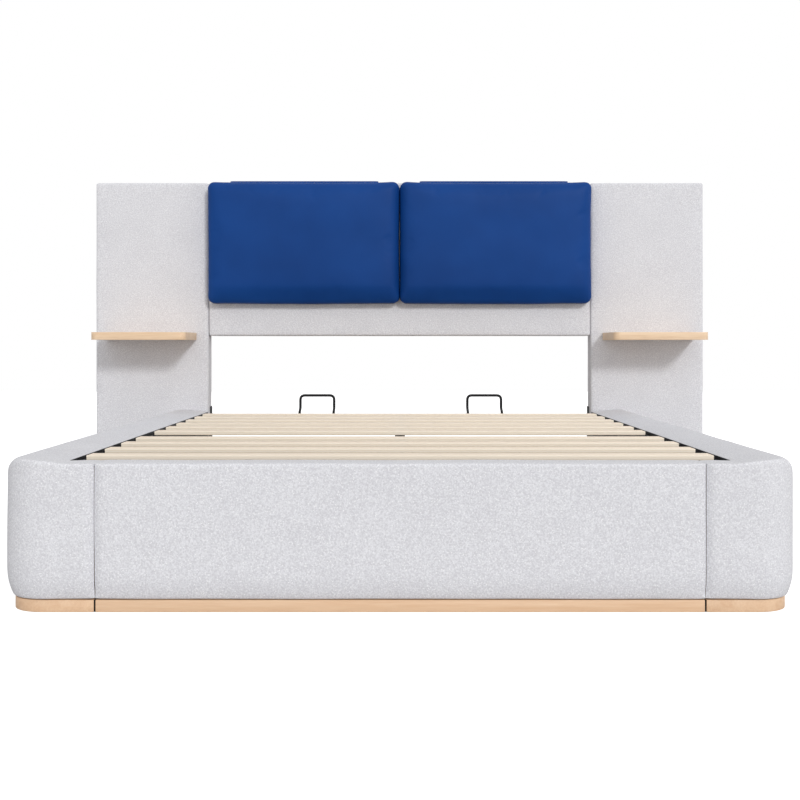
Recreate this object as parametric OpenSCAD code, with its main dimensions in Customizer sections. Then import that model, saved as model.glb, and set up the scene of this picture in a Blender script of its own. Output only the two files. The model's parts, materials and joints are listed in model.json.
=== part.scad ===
// Upholstered platform bed with a lift-up slatted platform over a storage space.
// Millimetres. +X to the right seen from the foot, +Y towards the headboard, +Z up.
// The origin is on the floor, in the middle of the bed's footprint.

/* [Mattress space] */
// Width of the mattress
mattress_w = 1524; // [1370:1:1930]
// Length of the mattress
mattress_l = 2032; // [1900:1:2100]
// Gap between the mattress and each side rail
side_gap = 8; // [4:0.5:15]
// Gap between the mattress and the headboard or footboard
end_gap = 9; // [5:0.5:20]

/* [Side rails] */
// Thickness of a side rail, from the storage space to the outside
rail_t = 145; // [120:1:170]
// Height of the crown of a side rail
rail_top = 350; // [335:1:370]
// How much lower the inner edge of a side rail is than its crown
rail_crown = 10; // [4:0.5:14]
// Radius of the soft outer shoulder of a side rail
shoulder_r = 35; // [25:1:45]
// Radius of the rounded corner at the foot, in plan
corner_r = 100; // [85:1:120]
// Thickness of the foam and fabric on the rails and the footboard
pad_t = 20; // [14:0.5:24]
// Height of the lower edge of the fabric above the floor
skirt_z = 34; // [32:0.5:40]
// How far the skirt of a rail rolls in under the side
skirt_roll = 14; // [8:0.5:18]
// Height over which the skirt rolls in
skirt_roll_h = 60; // [40:1:90]
// Thickness of the boards of the rail boxes
board_t = 18; // [12:0.5:22]
// Thickness of the black lining inside the storage space
lining_t = 2.5; // [1.5:0.1:4]

/* [Footboard] */
// Thickness of the footboard
foot_t = 80; // [70:1:95]
// Height of the footboard
foot_top = 340; // [325:1:350]
// Radius of the top edges of the footboard
foot_edge_r = 8; // [4:0.5:12]
// Distance from the middle of the bed to the seam beside the footboard
seam_x = 690; // [640:1:720]
// Width of the groove at each seam
seam_gap = 1; // [0.4:0.1:2]

/* [Plinth] */
// Height of the wooden plinth
plinth_h = 28; // [20:0.5:31]
// Width of the plinth board, from front to back
plinth_d = 42; // [30:1:50]
// How far the plinth stands back from the face above it
plinth_inset = 18; // [12:0.5:24]
// Gap between the lengths of the plinth
plinth_gap = 4; // [2:0.5:8]

/* [Headboard] */
// Thickness of the headboard
head_t = 85; // [75:1:100]
// Height of the headboard
head_top = 1256; // [1150:1:1350]
// Width of each upholstered wing
wing_w = 443; // [400:1:480]
// Height of the lower edge of the middle panel
panel_z = 646; // [600:1:690]
// Gap between the middle panel and each wing
panel_gap = 0.6; // [0.4:0.1:0.9]
// Radius of the edges of the wings and the panel
head_edge_r = 8; // [4:0.5:12]
// Thickness of the foam and fabric on the headboard
head_pad = 18; // [14:0.5:22]
// Width of the timbers of the headboard frames
stile_w = 60; // [50:1:75]
// Thickness of the front ply of the headboard frames
ply_t = 8; // [6:0.5:12]
// Thickness of the cloth on the back of the headboard
cloth_t = 1.5; // [1:0.1:3]
// Height of the glides under the wings
glide_h = 12; // [8:0.5:20]
// Diameter of a glide
glide_d = 36; // [25:1:45]

/* [Shelves] */
// Width of a bedside shelf
shelf_w = 362; // [320:1:390]
// Depth of a bedside shelf
shelf_d = 260; // [220:1:300]
// Thickness of a bedside shelf
shelf_t = 29; // [24:0.5:34]
// Height of the underside of a shelf
shelf_z = 628; // [560:1:700]
// Radius of the front corners of a shelf
shelf_r = 25; // [15:1:40]
// Diameter of the rods inside a shelf
shelf_rod_d = 12; // [8:0.5:14]
// Length of the rods inside a shelf
shelf_rod_l = 150; // [100:1:190]
// Distance between the two rods of a shelf
shelf_rod_span = 220; // [180:1:250]
// Thickness of the plate that carries the rods
shelf_plate_t = 4; // [3:0.5:6]

/* [Back cushions] */
// Height of a back cushion
cushion_h = 479; // [430:1:520]
// Thickness of a back cushion in its middle
cushion_t = 90; // [70:1:110]
// Gap between the two cushions
cushion_gap = 9; // [5:0.5:20]
// Distance from the side of a cushion to the wing beside it
cushion_side_gap = 8; // [5:0.5:20]
// How far the top of a cushion lies below the top of the headboard
cushion_drop = 2; // [1:0.5:10]
// Radius of the corners of a cushion
cushion_r = 30; // [20:1:45]
// How much the sides of a cushion draw in between its corners
cushion_draw = 5; // [2:0.5:9]
// Rise of the crown in the middle of a cushion
cushion_crown = 14; // [8:0.5:20]
// Radius of the front edges of a cushion
cushion_edge_r = 26; // [18:1:34]
// Width of the flap that hangs a cushion on the panel
flap_w = 594; // [500:1:680]
// Thickness of the flap
flap_t = 4; // [3:0.5:8]
// How far the flap hangs down the back of the panel
flap_drop = 230; // [150:1:300]

/* [Storage space] */
// Width and height of the battens under the storage floor
batten = 30; // [25:1:35]
// Height of the upper face of the battens
batten_top = 75; // [66:1:85]
// Thickness of the storage floor
floor_t = 9; // [6:0.5:12]
// Width of a beam under the storage floor
beam_w = 60; // [45:1:75]
// Diameter of a foot under a beam
foot_d = 50; // [40:1:58]
// Height of the rail between the wings at the head
head_rail_top = 225; // [190:1:235]
// Thickness of the rail at the head
head_rail_t = 25; // [18:1:30]
// How far the rail at the head stands behind the face of the headboard
head_rail_in = 12; // [5:1:25]

/* [Slatted platform] */
// Width and height of the steel tubes
tube = 30; // [25:1:32]
// Wall of the steel tubes
tube_wall = 1.5; // [1.2:0.1:2]
// Height of the lower face of the tubes
tube_z = 300; // [296:1:304]
// Gap between the platform and each side rail
platform_gap = 6; // [5:0.5:10]
// Gap between the platform and the footboard
platform_end_gap = 10; // [8:1:20]
// Distance from the headboard to the platform
platform_head_gap = 35; // [28:1:40]
// Width of a slat
slat_w = 63; // [53:1:70]
// Thickness of a slat
slat_t = 12; // [9:0.5:14]
// Distance from one slat to the next
slat_pitch = 181.5; // [150:0.5:190]
// Wider step where the two halves of the platform meet
joint_pitch = 262; // [235:1:280]
// Number of slats in the half at the foot
foot_slats = 4; // [3:1:5]
// Number of slats in the half at the head
head_slats = 6; // [5:1:7]
// Distance from the footboard to the first slat
first_slat = 70; // [45:1:100]
// Distance from a rail to the end of a slat
slat_end_gap = 22; // [18:1:28]
// Thickness of the plastic holders of the slats
holder_t = 3; // [2:0.5:4]

/* [Mattress retainers] */
// Diameter of the retainer wire
wire_d = 7; // [5:0.5:9]
// Distance between the legs of a retainer
retainer_w = 135; // [100:1:180]
// Distance from the middle of the bed to the middle of a retainer
retainer_x = 334; // [250:1:450]
// Height of the top of a retainer above the floor
retainer_top = 407; // [385:1:450]
// Radius of the bends of a retainer
retainer_r = 15; // [10:1:25]
// How far the legs of a retainer step back towards the headboard
retainer_step = 41; // [30:1:45]

/* [Lift mechanism] */
// Tilt of the open platform
lift_tilt = 38; // [30:0.5:40]
// Swing of the rear links from closed to open
link_swing = 69.7; // [60:0.1:72]
// Distance from the headboard to the lower pivot of the rear links
rear_pivot_d = 648; // [640:1:660]
// Height of the lower pivot of the rear links
rear_pivot_z = 216.5; // [210:0.5:222]
// Length of the rear links between their pivots
rear_link_l = 343; // [335:1:350]
// Direction of the closed rear links, from the lower pivot
rear_rest = 171; // [169:0.5:172]
// Length of the front links between their pivots
front_link_l = 438.7; // [430:0.1:450]
// Distance between the two link pivots on the upper bar
bar_span = 110; // [100:1:120]
// How much lower the front link's pivot is on the upper bar
bar_fall = 6.5; // [4:0.5:9]
// Width of the links
link_w = 30; // [24:1:34]
// Thickness of the links, the upper bars and the base plates
steel_t = 5; // [4:0.5:5.4]
// Diameter of the pivot pins
pin_d = 10; // [8:0.5:12]
// Radial clearance of a pin in its bore
pin_clear = 0.1; // [0.05:0.01:0.1]
// Clear space between moving plates
plate_clear = 0.5; // [0.4:0.1:0.8]
// How much nearer the headboard a gas strut's lower pivot is than a rear link's
strut_ahead = 188; // [180:1:196]
// How much lower a gas strut's lower pivot is than a rear link's
strut_below = 86.5; // [78:0.5:94]
// Diameter of a gas strut's cylinder
strut_d = 20; // [18:1:22]
// Diameter of a gas strut's rod
rod_d = 10; // [8:0.5:10]
// Length of rod that shows on a closed gas strut
rod_show = 52.6; // [48:0.1:72]

/* [Fasteners] */
// Diameter of the frame bolts
bolt_d = 8; // [6:0.5:10]
// Radial clearance of a bolt in its hole
bolt_clear = 0.3; // [0.2:0.05:0.5]
// Clearance between pieces that seat in one another
fit = 0.3; // [0.2:0.05:0.4]

/* [Hidden] */
$fn = 48;
// Overshoot of a cut past the face that it opens
cut = 1;

// Plan of the bed
inner_w = mattress_w + 2 * side_gap;
inner_l = mattress_l + 2 * end_gap;
half_w = inner_w / 2;
bed_l = foot_t + inner_l + head_t + fit + flap_t;
foot_face = -bed_l / 2;
foot_in = foot_face + foot_t;
head_face = foot_in + inner_l;
head_back = head_face + head_t;
rail_out = half_w + rail_t;
corner_x = rail_out - corner_r;
corner_y = foot_face + corner_r;

// Heights of the rails
rail_edge = rail_top - rail_crown;
crown_run = rail_t - shoulder_r;
crown_r = (crown_run * crown_run + rail_crown * rail_crown) / (2 * rail_crown);
roll_r = (skirt_roll_h * skirt_roll_h + skirt_roll * skirt_roll) / (2 * skirt_roll);
core_top = min(rail_edge, foot_top) - pad_t * 0.7;
core_r = max(shoulder_r - pad_t, 5);
lining_drop = 4;
lining_top = rail_edge - lining_drop;

// Headboard
wing_frame_w = wing_w - 2 * head_pad;
wing_frame_h = head_top - head_pad - glide_h;
panel_h = head_top - panel_z;
panel_w = inner_w - 2 * panel_gap;
panel_frame_w = panel_w - 2 * head_pad;
panel_frame_h = panel_h - 2 * head_pad;

// Shelves
shelf_x = half_w + wing_w / 2;
shelf_mid_z = shelf_z + shelf_t / 2;
shelf_plate_h = shelf_t * 0.7;
shelf_plate_w = shelf_rod_span + 2 * shelf_rod_d;
// Half the height of the cross rail that the shelf bracket is screwed to
shelf_rail_half = 50;

// Bolts and screws, and where they stand
bolt_head_h = bolt_d * 0.65;
bolt_grip = 40;
head_sink = 3;
head_bolt_l = 30;
head_bolt_x = half_w + head_pad + stile_w / 2;
head_bolt_z = [130, 260];
head_bolt_seat = head_t - cloth_t - bolt_head_h - head_sink;
panel_bolt_l = 2 * head_pad + panel_gap + bolt_grip;
panel_bolt_y = head_face + (head_pad + head_t - cloth_t) / 2;
panel_bolt_z = [panel_z + panel_h * 0.2, panel_z + panel_h * 0.8];
bracket_t = 3;
bracket_leg = 60;
bracket_out = half_w - seam_x;
corner_bolt_z = [150, 215];
bracket_rim = 30;
screw_d = 5;
screw_l = 45;
screw_head_h = 2;

// Rail across the head and the plates that hold it between the wings
head_rail_y = head_face + head_rail_in;
head_rail_back = head_rail_y + head_rail_t;
head_plate_t = 6;
head_plate_z = 100;
head_plate_top = 359;
head_plate_leg = 65;
head_plate_bolt_z = [150, 320];

// Storage floor
batten_z = batten_top - batten;
batten_x = half_w + lining_t - batten;
beam_y = inner_l / 6;
beam_foot_x = half_w * 0.48;
panel_joints = [foot_in, -beam_y, beam_y, head_rail_y];

// Steel frame of the platform, in two halves that are bolted together
platform_x = half_w - platform_gap;
platform_foot = foot_in + platform_end_gap;
platform_head = head_face - platform_head_gap;
joint_y = foot_in + first_slat + (foot_slats - 1) * slat_pitch + (slat_w + joint_pitch) / 2;
cross_tube_y = [platform_foot, joint_y - fit - tube, joint_y + fit, platform_head - tube];
tube_top = tube_z + tube;
joint_bolts_x = [platform_x * 0.3, platform_x * 0.75];

// Slats, which lie on their holders
slat_end = half_w - slat_end_gap;
slat_z = tube_top + holder_t;
slat_edge_r = slat_t / 4;
foot_slat_y = [for (i = [0:foot_slats - 1]) foot_in + first_slat + i * slat_pitch];
head_slat_y = [for (i = [0:head_slats - 1]) foot_slat_y[foot_slats - 1] + joint_pitch + i * slat_pitch];

// Mattress retainers, whose feet stand on the head end of the platform
wire_r = wire_d / 2;
tab_t = 3;
retainer_foot_y = platform_head - tube / 2;
retainer_top_y = retainer_foot_y + retainer_step;
knee_z = tube_top + slat_t;
heel_z = knee_z + 2 * wire_d;
knuckle_r = wire_r * 1.25;

// Rests for the closed platform
rest_w = 70;
rest_pad_t = 3;
rest_top = tube_z - fit - rest_pad_t;
rest_y = [foot_in + inner_l * 0.04, foot_in + inner_l * 0.24, foot_in + inner_l * 0.45];

// Turns a vector given as [distance from the headboard, height]
function turn(v, a) = [v[0] * cos(a) - v[1] * sin(a), v[0] * sin(a) + v[1] * cos(a)];
function angle_of(v) = atan2(v[1], v[0]);

// Pivots of the lift, closed and open
rear_pivot = [rear_pivot_d, rear_pivot_z];
rear_top = rear_pivot + turn([rear_link_l, 0], rear_rest);
rear_top_open = rear_pivot + turn([rear_link_l, 0], rear_rest - link_swing);
front_top = rear_top + [bar_span, -bar_fall];
front_top_open = rear_top_open + turn(front_top - rear_top, lift_tilt);
front_chord = front_top_open - front_top;
// The fixed pivot of the front links lies on the bisector of their upper pivot's two places
front_bisector = sqrt(front_link_l * front_link_l - norm(front_chord) * norm(front_chord) / 4);
front_pivot = (front_top + front_top_open) / 2 + turn(front_chord, -90) * (front_bisector / norm(front_chord));

// Gas struts, from the base plates to the upper bars
bar_reach = 90;
bar_drop = 10;
strut_pivot = rear_pivot - [strut_ahead, strut_below];
strut_top = rear_top - [bar_reach, bar_drop];
strut_rest = strut_top - strut_pivot;

// Planes of the lift beside a rail, from the rail inwards
plate_in = half_w - steel_t;
rear_x = plate_in - plate_clear;
front_x = rear_x - steel_t - plate_clear;
bar_x = front_x - steel_t - plate_clear;
strut_out = bar_x - steel_t - plate_clear;
strut_x = strut_out - strut_d / 2;
strut_in = strut_out - strut_d;

// Details of the lift
pin_r = pin_d / 2;
boss_r = pin_r + 4;
pin_head_t = 2;
ear_r = link_w / 2 + 10;
// Width of a shank as a share of its eyes
shank_share = 0.8;
plate_bolt_z = strut_pivot[1] - 5;
plate_low = plate_bolt_z - link_w / 2 - 3;
plate_high = plate_bolt_z + link_w;
plate_bolt_in = 40;
plate_bolt_out = 5;
plate_bolt_span = 120;
plate_bolt_d = [
    strut_pivot[0] + plate_bolt_in, strut_pivot[0] + plate_bolt_span,
    front_pivot[0] + plate_bolt_out - plate_bolt_span, front_pivot[0] + plate_bolt_out,
];
strut_wall = 1.6;
eye_r = pin_r + 6;
guide_l = 12;
// The upper end of a strut hangs loosely on its stud
stud_r = 4;
stud_clear = 2.6;
rod_eye_r = stud_r + stud_clear + 4.5;
// A cylinder starts inside its lower eye
cylinder_s = eye_r - 1;
cylinder_l = norm(strut_rest) - rod_eye_r - rod_show - cylinder_s;

// Back cushions and the flaps that hang them over the panel
cushion_w = half_w - cushion_side_gap - cushion_gap / 2;
cushion_x = cushion_gap / 2 + cushion_w / 2;
cushion_z = head_top - cushion_drop - cushion_h / 2;
cushion_side_t = cushion_t - cushion_crown - cushion_edge_r;
back_edge_r = 3;
outline_steps = 12;
edge_steps = 4;
crown_steps = 5;
flap_tail = 12;
flap_top = head_top + fit + flap_t;

// Fabric colours and timber colours
fabric_color = [0.85, 0.86, 0.88];
timber_color = [0.80, 0.70, 0.55];
oak_color = [0.92, 0.78, 0.62];
black = [0.08, 0.08, 0.09];
blue = [0.14, 0.27, 0.52];
steel_color = [0.62, 0.63, 0.65];

// Copies a piece to the left of the bed
module left_side() {
    mirror([1, 0, 0]) children();
}

// Both copies of a piece
module both_sides() {
    children();
    left_side() children();
}

// Section of a rail or the footboard from its inner face outwards, with the height as Y
module rail_section(t, top, r, low) {
    intersection() {
        union() {
            translate([0, low]) square([t - r, top - low]);
            translate([0, low]) square([t, top - r - low]);
            translate([t - r, top - r]) circle(r, $fn = 96);
        }
        union() {
            translate([0, skirt_z + skirt_roll_h]) square([t, top]);
            translate([t - roll_r, skirt_z + skirt_roll_h]) circle(roll_r, $fn = 360);
        }
    }
}

// Outer section of a side rail, crowned on top
module rail_outline() {
    intersection() {
        rail_section(rail_t, rail_top, shoulder_r, skirt_z);
        translate([crown_run, rail_top - crown_r]) circle(crown_r, $fn = 720);
    }
}

// Section of the timber box in a rail, or with a clearance the hollow that holds it
module rail_core_section(clear, low) {
    rail_section(rail_t - pad_t + clear, core_top + clear, core_r, low);
}

// Runs a section along a side rail, round the corner and along the foot to the seam
module rail_sweep(front_t, gap, over = 0) {
    translate([half_w, head_face + over, 0]) rotate([90, 0, 0])
        linear_extrude(head_face + over - corner_y) children();
    translate([half_w, corner_y, 0]) rotate([90, 0, 0])
        linear_extrude(corner_y - foot_face - front_t)
            intersection() {
                children();
                translate([-cut, 0]) square([rail_t - corner_r + cut, rail_top + cut]);
            }
    translate([corner_x, corner_y, 0]) rotate([0, 0, -90]) rotate_extrude(angle = 90, $fn = 96)
        intersection() {
            translate([corner_r - rail_t, 0]) children();
            square([corner_r, rail_top + cut]);
        }
    translate([seam_x + gap, foot_face + rail_t, 0]) rotate([90, 0, 90])
        linear_extrude(corner_x - seam_x - gap) mirror([1, 0])
            intersection() {
                children();
                translate([rail_t - front_t, 0]) square([front_t, rail_top + cut]);
            }
}

// Runs a section, drawn from the inner face outwards, along the footboard
module foot_run(half) {
    translate([-half, foot_in, 0]) rotate([90, 0, 90])
        linear_extrude(2 * half) mirror([1, 0]) children();
}

module side_rail_cover() {
    color(fabric_color) difference() {
        rail_sweep(foot_t, seam_gap / 2) rail_outline();
        rail_sweep(foot_t + cut, -cut, cut) union() {
            rail_core_section(fit, 0);
            translate([-cut, 0]) square([rail_t / 2, core_top + fit]);
        }
        translate([half_w - cut, foot_in - fit, 0])
            cube([cut + lining_t + fit, inner_l + fit + cut, lining_top + fit]);
    }
}

module side_rail_core() {
    pocket_x = half_w + lining_t + board_t;
    pocket_w = rail_t - pad_t - lining_t - 3 * board_t;
    pocket_z = skirt_z + board_t;
    pocket_h = core_top - board_t - pocket_z;
    ribs = 3;
    bay = (head_face - corner_y - 2 * board_t) / ribs;
    color(timber_color) difference() {
        rail_sweep(foot_t, seam_gap / 2) difference() {
            rail_core_section(0, plinth_h);
            square([lining_t, rail_top]);
        }
        translate([seam_x - cut, foot_in - lining_t, 0])
            cube([half_w - seam_x + lining_t + cut, lining_t + cut, rail_top]);
        for (i = [0:ribs - 1])
            translate([pocket_x, corner_y + board_t + i * bay, pocket_z])
                cube([pocket_w, bay - board_t, pocket_h]);
        headboard_bolt_axes() bolt_hole(head_bolt_l);
        rail_bolt_axes() bolt_hole(bolt_grip);
    }
}

module rail_lining() {
    color(black) difference() {
        translate([half_w, foot_in, batten_top])
            cube([lining_t, inner_l, lining_top - batten_top]);
        rail_bolt_axes() bolt_hole(bolt_grip);
    }
}

module footboard_cover() {
    color(fabric_color) difference() {
        foot_run(seam_x - seam_gap / 2) footboard_outline();
        foot_run(seam_x + cut) union() {
            footboard_core_section(fit, 0);
            translate([-cut, 0]) square([foot_t / 2, core_top + fit]);
        }
    }
}

// Outer section of the footboard, with both of its top edges rounded
module footboard_outline() {
    r = foot_edge_r;
    difference() {
        rail_section(foot_t, foot_top, r, skirt_z);
        difference() {
            translate([-cut, foot_top - r]) square([r + cut, r + cut]);
            translate([r, foot_top - r]) circle(r);
        }
    }
}

module footboard_core_section(clear, low) {
    rail_section(foot_t - pad_t + clear, core_top + clear, foot_edge_r / 2, low);
}

module footboard_core() {
    color(timber_color) difference() {
        foot_run(seam_x - seam_gap / 2) difference() {
            footboard_core_section(0, plinth_h);
            square([lining_t, rail_top]);
        }
        both_sides() rail_bolt_axes() bolt_hole(bolt_grip);
    }
}

module foot_lining() {
    color(black) difference() {
        translate([-half_w, foot_in - lining_t, batten_top])
            cube([inner_w, lining_t, core_top - batten_top]);
        both_sides() rail_bolt_axes() bolt_hole(bolt_grip);
    }
}

module plinth_side() {
    color(oak_color) rail_sweep(foot_t, plinth_gap / 2)
        translate([rail_t - plinth_inset - plinth_d, 0]) square([plinth_d, plinth_h]);
}

module plinth_foot() {
    color(oak_color) foot_run(seam_x - plinth_gap / 2)
        translate([foot_t - plinth_inset - plinth_d, 0]) square([plinth_d, plinth_h]);
}

// Upholstered block with rounded edges, its front face on Y = 0
module pad_block(w, h, low_r) {
    r = head_edge_r;
    intersection() {
        linear_extrude(h) round_rect(w, head_t, r);
        translate([0, head_t + cut, 0]) rotate([90, 0, 0]) linear_extrude(head_t + 2 * cut)
            round_ends(w, h, r, low_r);
        translate([-cut, 0, 0]) rotate([90, 0, 90]) linear_extrude(w + 2 * cut)
            round_ends(head_t, h, r, low_r);
    }
}

module round_rect(w, d, r) {
    translate([r, 0]) square([w - 2 * r, d]);
    translate([0, r]) square([w, d - 2 * r]);
    for (x = [r, w - r])
        for (y = [r, d - r])
            translate([x, y]) circle(r);
}

// Rectangle with rounded upper corners, and rounded lower ones where low_r isn't 0
module round_ends(w, h, r, low_r) {
    translate([r, 0]) square([w - 2 * r, h]);
    translate([0, low_r]) square([w, h - r - low_r]);
    for (x = [r, w - r]) {
        translate([x, h - r]) circle(r);
        if (low_r > 0)
            translate([x, r]) circle(r);
    }
}

// Timber frame with pockets that open at the back, its front face on Y = 0
module timber_frame(w, h, pockets) {
    d = head_t - head_pad - cloth_t;
    difference() {
        cube([w, d, h]);
        for (p = pockets)
            translate([p[0], ply_t, p[1]])
                cube([p[2], d, p[3]]);
    }
}

module wing_core() {
    pocket_w = wing_frame_w - 2 * stile_w;
    low = stile_w;
    mid_low = shelf_mid_z - glide_h - shelf_rail_half;
    mid_high = shelf_mid_z - glide_h + shelf_rail_half;
    color(timber_color) difference() {
        translate([half_w + head_pad, head_face + head_pad, glide_h])
            timber_frame(wing_frame_w, wing_frame_h, [
                [stile_w, low, pocket_w, mid_low - low],
                [stile_w, mid_high, pocket_w, wing_frame_h - stile_w - mid_high],
            ]);
        headboard_bolt_axes() bolt_hole(head_t);
        headboard_bolt_axes() bolt_head_hole();
        panel_bolt_axes() bolt_hole(panel_bolt_l);
        head_plate_wing_axes() bolt_hole(bolt_grip);
        shelf_screw_axes() screw_hole();
    }
}

module wing_cover() {
    color(fabric_color) difference() {
        translate([half_w, head_face, glide_h]) pad_block(wing_w, head_top - glide_h, 0);
        translate([half_w + head_pad, head_face + head_pad, glide_h - cut])
            cube([wing_frame_w, head_t, wing_frame_h + cut]);
        headboard_bolt_axes() bolt_hole(head_t);
        panel_bolt_axes() bolt_hole(panel_bolt_l);
        head_plate_wing_axes() bolt_hole(bolt_grip);
        shelf_screw_axes() screw_hole();
    }
}

module center_panel_core() {
    pocket_w = (panel_frame_w - 3 * stile_w) / 2;
    color(timber_color) difference() {
        translate([-panel_frame_w / 2, head_face + head_pad, panel_z + head_pad])
            timber_frame(panel_frame_w, panel_frame_h, [
                for (i = [0, 1])
                    [stile_w + i * (pocket_w + stile_w), stile_w, pocket_w, panel_frame_h - 2 * stile_w]
            ]);
        both_sides() panel_bolt_axes() bolt_hole(panel_bolt_l);
    }
}

module center_panel_cover() {
    color(fabric_color) difference() {
        translate([-panel_w / 2, head_face, panel_z]) pad_block(panel_w, panel_h, head_edge_r);
        translate([-panel_frame_w / 2, head_face + head_pad, panel_z + head_pad])
            cube([panel_frame_w, head_t, panel_frame_h]);
        both_sides() panel_bolt_axes() bolt_hole(panel_bolt_l);
    }
}

module headboard_back_cloth() {
    color(black) {
        both_sides() translate([half_w + head_pad, head_back - cloth_t, glide_h])
            cube([wing_frame_w, cloth_t, wing_frame_h]);
        translate([-panel_frame_w / 2, head_back - cloth_t, panel_z + head_pad])
            cube([panel_frame_w, cloth_t, panel_frame_h]);
    }
}

module shelf() {
    color(oak_color) difference() {
        translate([shelf_x - shelf_w / 2, head_face - shelf_d, shelf_z]) linear_extrude(shelf_t)
            union() {
                translate([shelf_r, 0]) square([shelf_w - 2 * shelf_r, shelf_d]);
                translate([0, shelf_r]) square([shelf_w, shelf_d - shelf_r]);
                for (x = [shelf_r, shelf_w - shelf_r])
                    translate([x, shelf_r]) circle(shelf_r);
            }
        translate([shelf_x, head_face - (shelf_plate_t + fit - cut) / 2, shelf_mid_z])
            cube([shelf_plate_w + 2 * fit, shelf_plate_t + fit + cut, shelf_plate_h + 2 * fit], center = true);
        shelf_rods(shelf_rod_d / 2 + fit, shelf_rod_l + fit);
        shelf_screw_axes() screw_head_room();
    }
}

module shelf_rods(r, l) {
    for (x = [-shelf_rod_span / 2, shelf_rod_span / 2])
        translate([shelf_x + x, head_face, shelf_mid_z]) rotate([90, 0, 0]) cylinder(l, r, r);
}

module shelf_bracket() {
    color(steel_color) difference() {
        union() {
            translate([shelf_x - shelf_plate_w / 2, head_face - shelf_plate_t, shelf_mid_z - shelf_plate_h / 2])
                cube([shelf_plate_w, shelf_plate_t, shelf_plate_h]);
            shelf_rods(shelf_rod_d / 2, shelf_rod_l);
        }
        shelf_screw_axes() screw_hole();
    }
}

// Places a fastener with its head outside on +Z and its shank along -Z
module headboard_bolt_axes() {
    for (z = head_bolt_z)
        translate([head_bolt_x, head_face, z]) rotate([-90, 0, 0]) children();
}

module panel_bolt_axes() {
    for (z = panel_bolt_z)
        translate([half_w + head_pad, panel_bolt_y, z]) rotate([0, 90, 0]) children();
}

module shelf_screw_axes() {
    for (x = [-shelf_rod_span / 4, shelf_rod_span / 4])
        translate([shelf_x + x, head_face - shelf_plate_t, shelf_mid_z]) rotate([90, 0, 0]) children();
}

module corner_bolt_axes() {
    for (z = corner_bolt_z) {
        translate([half_w, foot_in + bracket_leg * 0.65, z]) rotate([0, -90, 0]) children();
        for (x = [seam_x + bracket_out * 0.6, seam_x - bracket_out * 0.6])
            translate([x, foot_in, z]) rotate([-90, 0, 0]) children();
    }
}

module plate_bolt_axes() {
    for (d = plate_bolt_d)
        translate([half_w, head_face - d, plate_bolt_z]) rotate([0, -90, 0]) children();
}

module rail_bolt_axes() {
    corner_bolt_axes() children();
    plate_bolt_axes() children();
}

// Bolts of the plates at the head, into the wings and into the rail across the head
module head_plate_wing_axes() {
    for (z = head_plate_bolt_z)
        translate([half_w, (head_rail_back + head_back) / 2, z]) rotate([0, -90, 0]) children();
}

module head_plate_rail_axes() {
    translate([half_w - head_plate_leg * 0.6, head_rail_back, head_plate_bolt_z[0]])
        rotate([-90, 0, 0]) children();
}

module bolt_hole(l) {
    translate([0, 0, -l - fit]) cylinder(l + head_t, bolt_d / 2 + bolt_clear, bolt_d / 2 + bolt_clear);
}

module bolt_head_hole() {
    translate([0, 0, head_bolt_seat]) cylinder(head_t, bolt_d * 1.25, bolt_d * 1.25);
}

module screw_hole() {
    translate([0, 0, -screw_l - fit]) cylinder(screw_l + head_t, screw_d / 2 + fit, screw_d / 2 + fit);
}

module screw_head_room() {
    cylinder(screw_head_h + fit, screw_d + fit, screw_d + fit);
}

// Hexagon bolt whose head seats at the given height above its axis point
module hex_bolt(l, seat) {
    translate([0, 0, -l]) cylinder(l + seat, bolt_d / 2, bolt_d / 2);
    translate([0, 0, seat]) cylinder(bolt_head_h, bolt_d, bolt_d, $fn = 6);
}

module headboard_bolts() {
    color(steel_color) both_sides() headboard_bolt_axes() hex_bolt(head_bolt_l, head_bolt_seat);
}

module panel_bolts() {
    color(steel_color) both_sides() panel_bolt_axes() hex_bolt(panel_bolt_l, stile_w);
}

module frame_bolts() {
    color(steel_color) both_sides() {
        corner_bolt_axes() hex_bolt(bolt_grip, bracket_t);
        plate_bolt_axes() hex_bolt(bolt_grip, steel_t);
        head_plate_wing_axes() hex_bolt(bolt_grip, head_plate_t);
        head_plate_rail_axes() hex_bolt(head_rail_t, head_plate_t);
        shelf_screw_axes() {
            translate([0, 0, -screw_l]) cylinder(screw_l, screw_d / 2, screw_d / 2);
            cylinder(screw_head_h, screw_d, screw_d);
        }
    }
}

module corner_brackets() {
    z = corner_bolt_z[0] - bracket_rim;
    h = corner_bolt_z[1] - corner_bolt_z[0] + 2 * bracket_rim;
    color(steel_color) both_sides() difference() {
        union() {
            translate([half_w - bracket_t, foot_in, z]) cube([bracket_t, bracket_leg, h]);
            translate([seam_x - bracket_out, foot_in, z])
                cube([half_w - seam_x + bracket_out, bracket_t, h]);
        }
        corner_bolt_axes() bolt_hole(bolt_grip);
    }
}

module head_rail() {
    color(timber_color) difference() {
        translate([-half_w + fit, head_rail_y, plinth_h])
            cube([inner_w - 2 * fit, head_rail_t, head_rail_top - plinth_h]);
        both_sides() head_plate_rail_axes() bolt_hole(head_rail_t);
    }
}

module head_rail_brackets() {
    color(black) both_sides() difference() {
        union() {
            translate([half_w - head_plate_t, head_rail_back, head_plate_z])
                cube([head_plate_t, head_back - head_rail_back - cloth_t, head_plate_top - head_plate_z]);
            translate([half_w - head_plate_leg, head_rail_back, head_plate_z])
                cube([head_plate_leg, head_plate_t, head_rail_top - head_plate_z]);
        }
        head_plate_wing_axes() bolt_hole(bolt_grip);
        head_plate_rail_axes() bolt_hole(head_rail_t);
    }
}

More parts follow.
